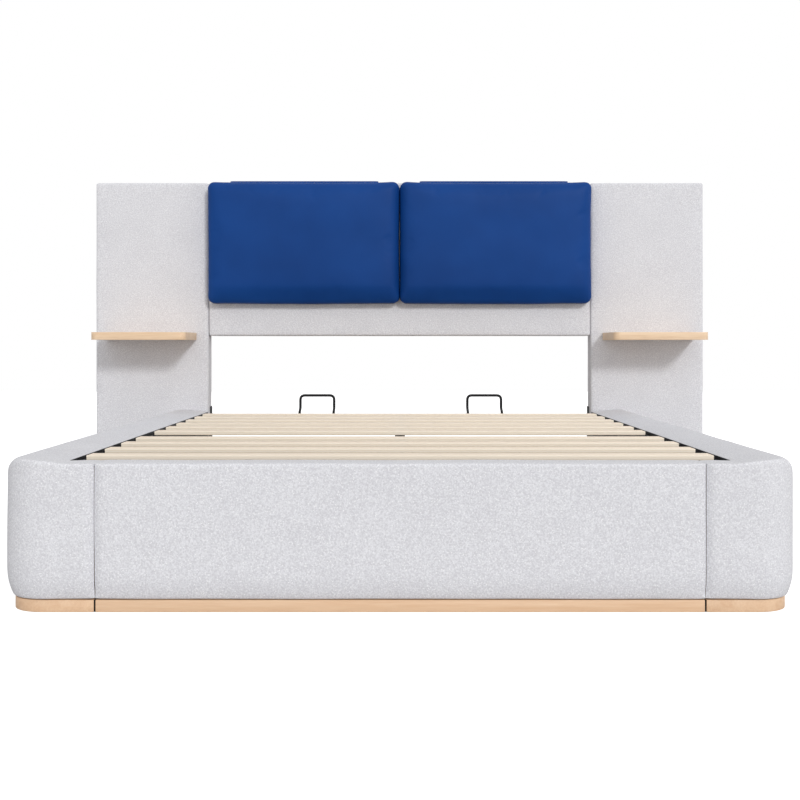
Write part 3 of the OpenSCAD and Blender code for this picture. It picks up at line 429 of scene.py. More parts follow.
platedSteelSet = {
    "colours": ((176, 178, 182), (205, 206, 210)),
    "stops": (0.3, 0.7),
    "brushSize": 260.0,
    "brushBump": (0.1, 0.0002),
    "shader": {"Roughness": 0.32, "Metallic": 1.0},
}


def platedSteel():
    s = platedSteelSet
    material, tree, shader = newMaterial("platedSteel", s["shader"])
    place = objectPlace(tree)
    brush = addNode(tree, "TexNoise", {"Vector": place, "Scale": s["brushSize"], "Detail": 3.0})
    tone = colourRamp(tree, brush.outputs["Fac"], s["stops"], s["colours"])
    tree.links.new(tone, shader.inputs["Base Color"])
    tree.links.new(bumpFrom(tree, brush.outputs["Fac"], *s["brushBump"]), shader.inputs["Normal"])
    return material


liningSet = {
    "colour": (20, 20, 22),
    "lighterBy": 16,
    "stops": (0.35, 0.7),
    "threadSize": 700.0,
    "threadBump": (0.3, 0.0004),
    "shader": {"Roughness": 0.9, "Sheen Weight": 0.1, "Specular IOR Level": 0.1},
}


def blackLining():
    s = liningSet
    material, tree, shader = newMaterial("blackLining", s["shader"])
    place = objectPlace(tree)
    threads = addNode(tree, "TexNoise", {"Vector": place, "Scale": s["threadSize"], "Detail": 3.0})
    tones = (s["colour"], lighter(s["colour"], s["lighterBy"]))
    tone = colourRamp(tree, threads.outputs["Fac"], s["stops"], tones)
    tree.links.new(tone, shader.inputs["Base Color"])
    bump = bumpFrom(tree, threads.outputs["Fac"], *s["threadBump"])
    tree.links.new(bump, shader.inputs["Normal"])
    return material


dustClothSet = {
    "colours": ((40, 40, 43), (58, 58, 62)),
    "stops": (0.08, 0.34),
    "dotSize": 330.0,
    "dotScatter": 0.2,
    "dotBump": (0.4, 0.0005),
    "cloudSize": 6.0,
    "shader": {"Roughness": 0.85, "Sheen Weight": 0.1, "Specular IOR Level": 0.12},
}


def dustCloth():
    s = dustClothSet
    material, tree, shader = newMaterial("dustCloth", s["shader"])
    place = objectPlace(tree)
    dots = addNode(tree, "TexVoronoi", {
        "Vector": place, "Scale": s["dotSize"], "Randomness": s["dotScatter"],
    }, feature="F1")
    cloud = addNode(tree, "TexNoise", {"Vector": place, "Scale": s["cloudSize"], "Detail": 4.0})
    tone = addNode(
        tree, "Math", {0: dots.outputs["Distance"], 1: cloud.outputs["Fac"]}, operation="MULTIPLY"
    )
    colour = colourRamp(tree, tone.outputs[0], s["stops"], s["colours"])
    tree.links.new(colour, shader.inputs["Base Color"])
    bump = bumpFrom(tree, dots.outputs["Distance"], *s["dotBump"])
    tree.links.new(bump, shader.inputs["Normal"])
    return material


plinthTones = ((222, 184, 149), (236, 204, 172))
shelfTones = ((224, 192, 158), (242, 216, 186))
frameTones = ((184, 150, 104), (214, 186, 142))
boardTones = ((172, 144, 104), (196, 170, 132))

# One material for each slot of the model
materials = {
    "fabric": loopedFabric(),
    "cushion_cover": coatedCloth(),
    "veneer": timberGrain("palePlinthWood", *plinthTones, along="x", roughness=0.45),
    "slat_ply": layeredPly(),
    "frame_timber": timberGrain("rawTimber", *frameTones, along="x", roughness=0.7),
    "floor_board": timberGrain("thinBoard", *boardTones, along="y", roughness=0.7),
    "lining": blackLining(),
    "black_steel": powderCoat("blackPowderCoat", (20, 20, 23), 0.55),
    "bright_steel": platedSteel(),
    "black_plastic": powderCoat("blackPlastic", (26, 26, 28), 0.6),
    "rubber": powderCoat("softPad", (22, 22, 22), 0.8),
}
shelfGrain = timberGrain("paleShelfWood", *shelfTones, along="x", roughness=0.45)
sideGrain = timberGrain("palePlinthWoodSide", *plinthTones, along="y", roughness=0.45)

for entry in frame["record"]["subparts"]:
    node = nodes[entry["node"]]
    node.data.materials.clear()
    node.data.materials.append(materials[entry["material_slot"]])
nodes["headboard_back_cloth"].data.materials[0] = dustCloth()
print("materials made")


def addPiece(name, bm, body, slotName, replaced, material=None):
    mesh = bpy.data.meshes.new(name)
    bm.normal_update()
    bm.to_mesh(mesh)
    bm.free()
    for face in mesh.polygons:
        face.use_smooth = True
    mesh.materials.append(material or materials[slotName])
    piece = bpy.data.objects.new(name, mesh)
    bpy.context.scene.collection.objects.link(piece)
    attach(piece, body)
    if replaced:
        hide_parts(*replaced)
    return piece


def thicken(piece, thickness, offset=-1):
    shell = piece.modifiers.new("clothThickness", "SOLIDIFY")
    shell.thickness = thickness
    shell.offset = offset


def soften(piece):
    soft = piece.modifiers.new("softness", "SUBSURF")
    soft.levels = soft.render_levels = 1


def ripple(bm, amount, size, seed):
    bm.normal_update()
    for vert in bm.verts:
        wave = noise.noise(vert.co / size + Vector((seed, 0, seed)))
        vert.co += vert.normal * amount * wave


def addBlock(bm, size, middle):
    made = bmesh.ops.create_cube(bm, size=1.0)["verts"]
    bmesh.ops.scale(bm, vec=size, verts=made)
    bmesh.ops.translate(bm, vec=middle, verts=made)
    return made


def bevelEdges(bm, edges, width, segments=2, clamped=False):
    bmesh.ops.bevel(
        bm, geom=edges, offset=width, offset_type="OFFSET", segments=segments, profile=0.5,
        affect="EDGES", clamp_overlap=clamped, material=-1,
    )


sharpAngle = math.radians(35)
nodeWeld = 0.00002  # joins the doubled vertices of a node's mesh


# Keeps hard edges hard on a piece that is shaded smooth
def sharpen(piece):
    piece.data.set_sharp_from_angle(angle=sharpAngle)


# Upholstery of the rails and the footboard
coverSet = {
    "skin": 0.003,
    "softShoulder": 0.035,
    "crispEdge": 0.008,
    "softUntil": 18.0,  # degrees round the corner
    "crispFrom": 66.0,
    "cornerRadius": 0.1,
    "backEdge": 0.0025,
    "backRise": 0.0013,
    "backRiseRun": 0.05,
    "backDepth": 0.0005,  # where the back edge ends over the timber
    "tuckedEdge": 0.0012,
    "leastTuck": 0.0002,
    "hemRoll": 0.014,
    "hemRollHeight": 0.060,
    "hemDrop": 0.0035,
    "hemUnder": ((0.018, 0.002), (0.004, 0.0003)),  # behind the roll, over the hem
    "seamTop": 0.14,  # share of the turn that the top takes
    "seamFoot": 0.012,
    # Distance from the seam, and how far the fabric has turned in there
    "seamTurn": (
        (0.032, 0.0), (0.0195, 0.0002), (0.015, 0.0011), (0.011, 0.0027), (0.0075, 0.0046),
        (0.0045, 0.0066), (0.0022, 0.0083), (0.0008, 0.0095), (0.0, 0.0102),
    ),
    "beforeSeam": (0.06, 0.045),
    "footEnd": 0.03,
    "pastInner": 0.002,  # from the rail's inner face to the first station beside the footboard
    "returnPlaces": (0.80, 0.785),
    "sideSteps": 41,
    "cornerSteps": 12,
    "innerSteps": 2,  # steps of the corner in which the inner end reaches the footboard
    "footSteps": 28,
    "rollSteps": 5,
    "wallSteps": 6,
    "shoulderSteps": 6,
    "topSteps": 8,
    "tuckSteps": 3,
    "ripple": 0.0012,
    "rippleSize": 0.16,
    "railSeed": 3.1,
    "footSeed": 1.7,
    "weld": 0.00005,
    "fill": 0.9,
}


def crownHeight(x):
    crest = bed["outerX"] - coverSet["softShoulder"]
    t = min(max((x - bed["innerX"]) / (crest - bed["innerX"]), 0.0), 1.0)
    return bed["railTop"] - (bed["railTop"] - bed["footTop"]) * (1 - t) ** 2


def hemPoints(hemZ):
    s = coverSet
    depth, height = s["hemRoll"], s["hemRollHeight"]
    radius = (height ** 2 + depth ** 2) / (2 * depth)
    points = [(depth + behind, hemZ + over) for behind, over in s["hemUnder"]]
    for k in range(s["rollSteps"]):
        rise = height * k / s["rollSteps"]
        back = radius - math.sqrt(radius ** 2 - (height - rise) ** 2)
        points.append((back, hemZ + rise))
    return points


def turnedIn(points, inset, hemZ, run):
    s = coverSet
    shaped = []
    for k, (d, z) in enumerate(points):
        before = points[max(k - 1, 0)]
        after = points[min(k + 1, len(points) - 1)]
        along = Vector((after[0] - before[0], after[1] - before[1])).normalized()
        onFront = d < run / 2
        turned = inset * (ease((z - hemZ) / s["seamFoot"]) if onFront else s["seamTop"])
        shaped.append((d + along.y * turned, z - along.x * inset * s["seamTop"]))
    return shaped


# Section of the cover from under the hem, up the wall and over the top to the inner side
def coverProfile(outer, inner, shoulder, tuck, lowEnd, inset, backRise):
    s = coverSet
    run = (inner - outer).length
    hemZ = bed["hemZ"] - s["hemDrop"]

    def heightAt(d):
        across = min(max(d / run, 0.0), 1.0)
        return crownHeight(abs(mix(outer.x, inner.x, across))) + backRise * ease(across)

    points = hemPoints(hemZ)
    wallLow, wallTop = hemZ + s["hemRollHeight"], heightAt(0) - shoulder
    for k in range(s["wallSteps"]):
        points.append((0.0, mix(wallLow, wallTop, k / s["wallSteps"])))
    for k in range(s["shoulderSteps"] + 1):
        a = math.radians(90 * k / s["shoulderSteps"])
        d = shoulder * (1 - math.cos(a))
        points.append((d, heightAt(d) - shoulder * (1 - math.sin(a))))
    for k in range(1, s["topSteps"]):
        d = mix(shoulder, run - tuck, k / s["topSteps"])
        points.append((d, heightAt(d)))
    for k in range(s["tuckSteps"] + 1):
        a = math.radians(90 * k / s["tuckSteps"])
        points.append((run - tuck + tuck * math.sin(a), heightAt(run) - tuck * (1 - math.cos(a))))
    points.append((run, min(lowEnd, points[-1][1] - s["leastTuck"])))
    way = (inner - outer).normalized()
    shaped = turnedIn(points, inset, hemZ, run)
    return [Vector((outer.x + way.x * d, outer.y + way.y * d, z)) for d, z in shaped]


def coverGrid(rows):
    bm = bmesh.new()
    long, wide = len(rows) - 1, len(rows[0]) - 1
    bmesh.ops.create_grid(bm, x_segments=long, y_segments=wide, size=0.5)
    for vert in bm.verts:
        vert.co = rows[round((vert.co.x + 0.5) * long)][round((vert.co.y + 0.5) * wide)]
    bmesh.ops.remove_doubles(bm, verts=bm.verts, dist=coverSet["weld"])
    return bm


# Each station of the right rail: outer end, inner end, how crisp its edge is, how far it turns in
def railStations():
    s = coverSet
    radius, innerX, footY, footInY = s["cornerRadius"], bed["innerX"], bed["footY"], bed["footInY"]
    turnX, turnY = bed["outerX"] - radius, footY + radius
    stations = []
    for k in range(s["sideSteps"]):
        y = mix(bed["headY"], turnY, k / s["sideSteps"])
        stations.append(((bed["outerX"], y), (innerX, y), 0.0, 0.0))
    for k in range(s["cornerSteps"] + 1):
        degrees = 90 * k / s["cornerSteps"]
        a = math.radians(degrees)
        outer = (turnX + radius * math.cos(a), turnY - radius * math.sin(a))
        inner = (innerX, mix(turnY, footInY, min(k / s["innerSteps"], 1.0)))
        crisp = ease((degrees - s["softUntil"]) / (s["crispFrom"] - s["softUntil"]))
        stations.append((outer, inner, crisp, 0.0))
    for x in (*s["returnPlaces"], innerX):
        stations.append(((x, footY), (innerX, footInY), 1.0, 0.0))
    seam = bed["seamX"]
    places = [(innerX - seam - s["pastInner"], 0.0)]
    places += [(gap, 0.0) for gap in s["beforeSeam"]]
    for gap, inset in (*places, *s["seamTurn"]):
        stations.append(((seam + gap, footY), (seam + gap, footInY), 1.0, inset))
    return stations


def railRows(side):
    s = coverSet
    rows = []
    for outerEnd, innerEnd, crisp, inset in railStations():
        outer = Vector((outerEnd[0] * side, outerEnd[1]))
        inner = Vector((innerEnd[0] * side, innerEnd[1]))
        shoulder = mix(s["softShoulder"], s["crispEdge"], crisp)
        rise = s["backRise"] * ease((bed["innerX"] - abs(inner.x)) / s["backRiseRun"])
        tuck, lowEnd = s["tuckedEdge"], bed["footTop"] - s["tuckedEdge"]
        if abs(inner.x) < bed["innerX"] - s["pastInner"] / 2:
            tuck, lowEnd = s["backEdge"], bed["coreTop"] + s["backDepth"]
        rows.append(coverProfile(outer, inner, shoulder, tuck, lowEnd, inset, rise))
    return rows


def makeRailCover(sideName, side):
    s = coverSet
    bm = coverGrid(railRows(side))
    if side > 0:
        bmesh.ops.reverse_faces(bm, faces=bm.faces)
    ripple(bm, s["ripple"], s["rippleSize"], side * s["railSeed"])
    name, node = "sideRailUpholstery" + sideName.title(), "side_rail_cover_" + sideName
    piece = addPiece(name, bm, "bed_base", "fabric", [node])
    thicken(piece, s["skin"])
    soften(piece)


def makeFootCover():
    s = coverSet
    half, end, lowEnd = bed["seamX"], s["footEnd"], bed["coreTop"] + s["backDepth"]
    places = [(-half + gap, inset) for gap, inset in reversed(s["seamTurn"])]
    for k in range(1, s["footSteps"]):
        places.append((mix(-half + end, half - end, k / s["footSteps"]), 0))
    places += [(half - gap, inset) for gap, inset in s["seamTurn"]]
    rows = []
    for x, inset in places:
        outer, inner = Vector((x, bed["footY"])), Vector((x, bed["footInY"]))
        rows.append(coverProfile(
            outer, inner, s["crispEdge"], s["backEdge"], lowEnd, inset, s["backRise"]
        ))
    bm = coverGrid(rows)
    ripple(bm, s["ripple"], s["rippleSize"], s["footSeed"])
    piece = addPiece("footboardUpholstery", bm, "bed_base", "fabric", ["footboard_cover"])
    thicken(piece, s["skin"])
    soften(piece)


tapeSet = {
    "height": 0.007,
    "thickness": 0.0012,
    "endGap": 0.002,
    "overlap": 0.0003,
    "edge": 0.0004,
}


def makeEdgeTape(sideName, side):
    s = tapeSet
    length = bed["headY"] - bed["footInY"] - s["endGap"]
    size = Vector((s["thickness"], length, s["height"]))
    middleX = side * (bed["innerX"] - size.x / 2)
    middleY = (bed["headY"] + bed["footInY"]) / 2
    topZ = bed["footTop"] - coverSet["tuckedEdge"] + s["overlap"]
    bm = bmesh.new()
    addBlock(bm, size, (middleX, middleY, topZ - size.z / 2))
    bevelEdges(bm, bm.edges[:], s["edge"])
    addPiece("liningTape" + sideName.title(), bm, "bed_base", "lining", [])


makeRailCover("left", -1)
makeRailCover("right", 1)
makeEdgeTape("left", -1)
makeEdgeTape("right", 1)
makeFootCover()
print("rail and footboard upholstery made")


# Rounded block cut into patches of about step
def paddedBlock(low, high, radius, step):
    bm = bmesh.new()
    size, middle = high - low, (high + low) / 2
    addBlock(bm, size, middle)
    bevelEdges(bm, bm.edges[:], radius, segments=4)
    for axis in range(3):
        count = max(round(size[axis] / step), 1)
        for k in range(1, count):
            place, facing = Vector(middle), Vector((0, 0, 0))
            place[axis] = low[axis] + size[axis] * k / count
            facing[axis] = 1
            geom = bm.verts[:] + bm.edges[:] + bm.faces[:]
            bmesh.ops.bisect_plane(bm, geom=geom, plane_co=place, plane_no=facing)
    return bm


headboardSet = {
    "edge": 0.009,
    "step": 0.055,
    "puff": 0.0022,
    "backStep": 0.0012,
    "jointShift": 0.004,
    "sideSwell": 0.005,
    "topSwell": 0.003,
    "ripple": 0.0008,
    "rippleSize": 0.2,
    "fill": 0.9,
}


def headPanelBox(node):
    s = headboardSet
    low, high = (Vector(v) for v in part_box(node))
    high.y -= s["backStep"]
    high.z += s["topSwell"]
    if high.x < 0:
        low.x, high.x = low.x - s["sideSwell"], high.x + s["jointShift"]
    elif low.x > 0:
        low.x, high.x = low.x - s["jointShift"], high.x + s["sideSwell"]
    else:
        low.x, high.x = low.x + s["jointShift"], high.x - s["jointShift"]
        low.z -= s["topSwell"] / 2
    return low, high


def makeHeadPanel(name, node, seed):
    s = headboardSet
    low, high = headPanelBox(node)
    bm = paddedBlock(low, high, s["edge"], s["step"])
    size, middle = high - low, (high + low) / 2
    for vert in bm.verts:
        u = abs(vert.co.x - middle.x) / size.x * 2
        v = abs(vert.co.z - middle.z) / size.z * 2
        if vert.co.y < middle.y:
            vert.co.y -= s["puff"] * (1 - u ** 6) * (1 - v ** 8)
    ripple(bm, s["ripple"], s["rippleSize"], seed)
    piece = addPiece(name, bm, "bed_base", "fabric", [node])
    soften(piece)
    return piece


makeHeadPanel("wingUpholsteryLeft", "wing_cover_left", 4.2)
makeHeadPanel("wingUpholsteryRight", "wing_cover_right", 7.9)
centrePanel = makeHeadPanel("centrePanelUpholstery", "center_panel_cover", 11.3)
print("headboard upholstery made")


cushionSet = {
    "edge": 0.024,
    "step": 0.03,
    "crown": 0.012,
    "drawIn": 0.0006,
    "droop": 0.006,
    "ripple": 0.0012,
    "rippleSize": 0.09,
    "shrink": 0.0005,
    "voxel": 0.008,
    "clothMass": 0.3,
    "clothQuality": 5,
    "pressure": 4.0,
    "lastFrame": 20,
    "mostMove": 0.009,
    "backGap": 0.0003,
    "middleGap": 0.0004,
    "hang": 0.0035,  # how far the bottom hangs below the foam
    "rise": 0.0025,  # how far the top stands over the foam
    "lowTuck": (0.017, 0.075),  # how far the bottom turns back, and over which height
    "middleTuck": (0.013, 0.03),  # the same for the edges beside the other cushion
    "cornerRadius": 0.029,  # seen from the front
    "fill": 0.8,
}


def makeCushion(name, node, seed):
    s = cushionSet
    low, high = (Vector(v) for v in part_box(node))
    shrink = s["shrink"]
    low += Vector((shrink, s["crown"] + shrink, shrink))
    high -= Vector((shrink, shrink, shrink))
    bm = paddedBlock(low, high, s["edge"], s["step"])
    size, middle = high - low, (high + low) / 2
    for vert in bm.verts:
        u = (vert.co.x - middle.x) / size.x * 2
        v = (vert.co.z - middle.z) / size.z * 2
        front = min(max((high.y - vert.co.y) / size.y, 0.0), 1.0)
        vert.co.y -= s["crown"] * front * (1 - u ** 4) * (1 - v ** 4)
        vert.co.x -= math.copysign(s["drawIn"], u) * abs(u) ** 8 * (1 - v * v)
        vert.co.z -= math.copysign(s["drawIn"], v) * abs(v) ** 8 * (1 - u * u)
        vert.co.z -= s["droop"] * max(-v, 0.0) ** 3 * (1 - u * u)
    ripple(bm, s["ripple"], s["rippleSize"], seed)
    piece = addPiece(name, bm, node, "cushion_cover", [node])
    return piece


def shapeOf(piece):
    graph = bpy.context.evaluated_depsgraph_get()
    return bpy.data.meshes.new_from_object(piece.evaluated_get(graph))


def clothe(piece):
    s = cushionSet
    even = piece.modifiers.new("evenMesh", "REMESH")
    even.mode = "VOXEL"
    even.voxel_size = s["voxel"]
    mesh = shapeOf(piece)
    piece.modifiers.clear()
    piece.data = mesh
    cloth = piece.modifiers.new("cloth", "CLOTH")
    cloth.settings.quality = s["clothQuality"]
    cloth.settings.mass = s["clothMass"]
    cloth.settings.use_pressure = True
    cloth.settings.uniform_pressure_force = s["pressure"]
    cloth.settings.effector_weights.gravity = 0.0
    cloth.point_cache.frame_end = s["lastFrame"]


def keepSwelling(piece):
    s = cushionSet
    swollen = shapeOf(piece)
    moves = [swollen.vertices[v.index].co - v.co for v in piece.data.vertices]
    for vert, move in zip(piece.data.vertices, moves):
        if move.length > s["mostMove"]:
            move = move.normalized() * s["mostMove"]
        vert.co += move
        vert.co.y = min(vert.co.y, bed["headY"] - s["backGap"])
    piece.modifiers.clear()


def cushionBox(node):
    s = cushionSet
    low, high = (Vector(v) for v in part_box(node))
    if high.x < 0:
        high.x = -s["middleGap"]
    else:
        low.x = s["middleGap"]
    low.z -= s["hang"]
    high.z += s["rise"]
    return low, high


def fitTo(piece, low, high):
    verts = piece.data.vertices
    for axis in range(3):
        start = min(v.co[axis] for v in verts)
        end = max(v.co[axis] for v in verts)
        for vert in verts:
            vert.co[axis] = mix(low[axis], high[axis], (vert.co[axis] - start) / (end - start))


def turnBack(piece, low, high):
    lowDepth, lowHeight = cushionSet["lowTuck"]
    middleDepth, middleWidth = cushionSet["middleTuck"]
    for vert in piece.data.vertices:
        front = min(max((high.y - vert.co.y) / (high.y - low.y), 0.0), 1.0)
        below = ease((low.z + lowHeight - vert.co.z) / lowHeight)
        inward = ease((middleWidth - abs(vert.co.x)) / middleWidth)
        vert.co.y += max(lowDepth * below, middleDepth * inward) * front ** 2


def roundCorners(piece):
    radius = cushionSet["cornerRadius"]
    verts = piece.data.vertices
    start = [min(v.co[axis] for v in verts) for axis in range(3)]
    end = [max(v.co[axis] for v in verts) for axis in range(3)]
    for vert in verts:
        past = {}
        for axis in (0, 2):
            near, far = start[axis] + radius, end[axis] - radius
            past[axis] = min(vert.co[axis] - near, 0.0) + max(vert.co[axis] - far, 0.0)
        reach = math.hypot(past[0], past[2])
        if past[0] and past[2] and reach > radius:
            for axis in (0, 2):
                vert.co[axis] -= past[axis] * (1 - radius / reach)


def inflate(cushions):
    for piece in cushions.values():
        clothe(piece)
    for k in range(1, cushionSet["lastFrame"] + 1):
        bpy.context.scene.frame_set(k)
    for node, piece in cushions.items():
        keepSwelling(piece)
        low, high = cushionBox(node)
        fitTo(piece, low, high)
        turnBack(piece, low, high)
        roundCorners(piece)
        for face in piece.data.polygons:
            face.use_smooth = True
    bpy.context.scene.frame_set(1)


cushions = {
    "cushion_left": makeCushion("backCushionLeft", "cushion_left", 2.3),
    "cushion_right": makeCushion("backCushionRight", "cushion_right", 5.8),
}
inflate(cushions)
for piece in cushions.values():
    soften(piece)
print("cushions made")


def ringAt(bm, point, ahead, up, radius, sides, capped=False):
    turn = ahead.to_track_quat("Z", up).to_matrix().to_4x4()
    turn.translation = point
    made = bmesh.ops.create_circle(
        bm, cap_ends=capped, segments=sides, radius=radius, matrix=turn
    )
    ring = set(made["verts"])
    return [e for e in bm.edges if e.verts[0] in ring and e.verts[1] in ring]


seamCordSet = {"radius": 0.0012, "sides": 8, "steps": 240, "fromBack": 0.026}


# Points round the cushion where rays from its middle leave it
def seamPath(cushion, body):
    s = seamCordSet
    bm = bmesh.new()
    bm.from_mesh(shapeOf(cushion))
    surface = BVHTree.FromBMesh(bm)
    bm.free()
    low, high = (Vector(v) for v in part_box(body))
    size, middle = high - low, (low + high) / 2
    middle.y = high.y - s["fromBack"]
    path = []
    for k in range(s["steps"]):
        a = 2 * math.pi * k / s["steps"]
        outward = Vector((math.cos(a) * size.x, 0, math.sin(a) * size.z)).normalized()
        path.append(surface.ray_cast(middle, outward)[0])
    return path


def makeSeamCord(name, body):
    s = seamCordSet
    path = seamPath(cushions[body], body)
    bm = bmesh.new()
    rings = []
    for k, point in enumerate(path):
        ahead = path[(k + 1) % len(path)] - path[k - 1]
        rings.append(ringAt(bm, point, ahead, "Y", s["radius"], s["sides"]))
    for first, second in zip(rings, rings[1:] + rings[:1]):
        bmesh.ops.bridge_loops(bm, edges=first + second)
    bmesh.ops.recalc_face_normals(bm, faces=bm.faces)
    addPiece(name, bm, body, "cushion_cover", [])


makeSeamCord("cushionSeamLeft", "cushion_left")
makeSeamCord("cushionSeamRight", "cushion_right")


flapSet = {
    "thickness": 0.0028,
    "bend": 0.008,
    "rise": 0.0045,
    "shift": {"left": 0.002, "right": -0.0065},
    # Lip in front of the panel: behind the front edge, below the crest
    "lip": ((0.0, 0.0095), (0.0004, 0.005), (0.002, 0.0018), (0.005, 0.0)),
    "topSteps": 9,
    "settleSteps": 6,
    "bendSteps": 6,
    "hangSteps": 12,
    "acrossSteps": 26,
    "sway": 0.0016,
    "swayScale": 9,
    "swayBelow": 0.03,
}


# Side view of the flap: lip, top of the panel, bend and the part that hangs behind
def flapPath(low, high):
    s = flapSet
    half = s["thickness"] / 2
    topZ, backY = high.z - half, high.y - half
    crest, bendY, bendZ = topZ + s["rise"], backY - s["bend"], topZ - s["bend"]
    path = [(low.y + behind, crest - below) for behind, below in s["lip"]]
    lipY = path[-1][0]
    for k in range(1, s["topSteps"] + 1):
        z = mix(crest, topZ, ease((k - 1) / s["settleSteps"]))
        path.append((mix(lipY, bendY, k / s["topSteps"]), z))
    for k in range(1, s["bendSteps"]):
        a = math.radians(90 * k / s["bendSteps"])
        path.append((bendY + s["bend"] * math.sin(a), bendZ + s["bend"] * math.cos(a)))
    for k in range(s["hangSteps"] + 1):
        path.append((backY, mix(bendZ, low.z, k / s["hangSteps"])))
    return path, topZ


def makeFlap(sideName):
    s = flapSet
    low, high = (Vector(v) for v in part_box("cushion_flap_" + sideName))
    low.x += s["shift"][sideName]
    high.x += s["shift"][sideName]
    path, topZ = flapPath(low, high)
    across = [mix(low.x, high.x, k / s["acrossSteps"]) for k in range(s["acrossSteps"] + 1)]
    bm = coverGrid([[Vector((x, y, z)) for y, z in path] for x in across])
    for vert in bm.verts:
        if vert.co.z < topZ - s["swayBelow"]:
            vert.co.y += s["sway"] * noise.noise(vert.co * s["swayScale"])
    name, node = "hangingFlap" + sideName.title(), "cushion_flap_" + sideName
    piece = addPiece(name, bm, "cushion_" + sideName, "cushion_cover", [node])
    thicken(piece, s["thickness"], 0)
    soften(piece)


makeFlap("left")
makeFlap("right")
print("flaps made")


def wireTube(bm, path, radius, sides):
    rings = []
    for k, point in enumerate(path):
        ahead = path[min(k + 1, len(path) - 1)] - path[max(k - 1, 0)]
        capped = k in (0, len(path) - 1)
        rings.append(ringAt(bm, point, ahead, "X", radius, sides, capped))
    for first, second in zip(rings, rings[1:]):
        bmesh.ops.bridge_loops(bm, edges=first + second)


def filleted(corners, radii, steps):
    path = [corners[0]]
    for before, corner, after, radius in zip(corners, corners[1:], corners[2:], radii):
        a, b = (before - corner).normalized(), (after - corner).normalized()
        reach = radius / math.tan(a.angle(b) / 2)
        start, end = corner + a * reach, corner + b * reach
        for k in range(steps + 1):
            t = k / steps
            path.append(start.lerp(corner, t).lerp(corner.lerp(end, t), t))
    return path + [corners[-1]]


retainerSet = {
    "wire": 0.0052,
    "sides": 12,
    "rise": 0.0045,
    "shift": 0.0045,
    "kneeHeight": 0.012,
    "kneeClimb": 0.014,
    "footRadius": 0.0048,
    "kneeRadius": 0.012,
    "topRadius": 0.018,
    "bendSteps": 6,
    "tab": (0.030, 0.020, 0.003),
    "tabEdge": 0.0008,
}


def makeRetainer(name, node):
    s = retainerSet
    tab = s["tab"]
    low, high = (Vector(v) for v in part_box(node))
    left, right = low.x + tab[0] / 2 + s["shift"], high.x - tab[0] / 2 + s["shift"]
    footY, backY = low.y + tab[1] / 2, high.y - s["wire"]
    kneeZ, topZ = low.z + s["kneeHeight"], high.z + s["rise"] - s["wire"]
    legs = []
    for x in (left, right):
        legs.append([
            Vector((x, footY, low.z + tab[2])), Vector((x, footY, kneeZ)),
            Vector((x, backY, kneeZ + s["kneeClimb"])), Vector((x, backY, topZ)),
        ])
    radii = [s["footRadius"], s["kneeRadius"], s["topRadius"]]
    path = filleted(legs[0] + legs[1][::-1], radii + radii[::-1], s["bendSteps"])
    bm = bmesh.new()
    wireTube(bm, path, s["wire"], s["sides"])
    for x in (left, right):
        made = addBlock(bm, tab, (x, footY, low.z + tab[2] / 2))
        edges = dict.fromkeys(e for v in made for e in v.link_edges)
        bevelEdges(bm, list(edges), s["tabEdge"])
    bmesh.ops.recalc_face_normals(bm, faces=bm.faces)
    addPiece(name, bm, "platform", "black_steel", [node])


makeRetainer("mattressRetainerLeft", "retainer_left")
makeRetainer("mattressRetainerRight", "retainer_right")
print("mattress retainers made")


slatSet = {"width": 0.063, "edge": 0.0011}


def makeSlats(name, node, count):
    s = slatSet
    low, high = (Vector(v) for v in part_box(node))
    size = Vector((high.x - low.x, s["width"], high.z - low.z))
    bm = bmesh.new()
    for k in range(count):
        y = mix(low.y + s["width"] / 2, high.y - s["width"] / 2, k / (count - 1))
        addBlock(bm, size, (0, y, (low.z + high.z) / 2))
    bevelEdges(bm, bm.edges[:], s["edge"])
    sharpen(addPiece(name, bm, "platform", "slat_ply", [node]))


makeSlats("bedSlatsFoot", "slats_foot", 4)
makeSlats("bedSlatsHead", "slats_head", 6)
print("slats made")


boardSet = {
    "plinthEdge": 0.0014,
    "jointShift": 0.0055,
    "jointReach": 0.03,  # what is nearer to a joint than this moves with it
    "shelfEdge": 0.0016,
    "shelfShift": 0.004,
    "shelfCorner": 0.016,
    "cornerReach": 0.05,
    "cornerSegments": 8,
    "uprightOver": 0.01,
}
plinthFootLow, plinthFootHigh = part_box("plinth_foot")
jointX = plinthFootHigh.x


def atFoot(place):
    return abs(place.x) > jointX - boardSet["jointReach"]


def atCorner(place):
    return abs(place.x) < jointX + boardSet["jointReach"] and place.y < 0


def anywhere(place):
    return True


def isSharp(edge):
    return len(edge.link_faces) == 2 and edge.calc_face_angle(0) > sharpAngle


# The node's own mesh, moved outwards where shifted says so, with rounded edges
def boardMesh(node, shifted, shift, edge, roundBefore=None):
    s = boardSet
    bm = bmesh.new()
    bm.from_mesh(nodes[node].data)
    for vert in bm.verts:
        if shifted(vert.co):
            vert.co.x += math.copysign(shift, vert.co.x)
    bmesh.ops.remove_doubles(bm, verts=bm.verts, dist=nodeWeld)
    bmesh.ops.dissolve_limit(bm, angle_limit=math.radians(1), verts=bm.verts, edges=bm.edges)
    if roundBefore is not None:
        upright = []
        for e in bm.edges:
            a, b = e.verts[0].co, e.verts[1].co
            if isSharp(e) and abs(a.z - b.z) > s["uprightOver"] and a.y < roundBefore:
                upright.append(e)
        bevelEdges(bm, upright, s["shelfCorner"], s["cornerSegments"], clamped=True)
    bevelEdges(bm, [e for e in bm.edges if isSharp(e)], edge, clamped=True)
    return bm


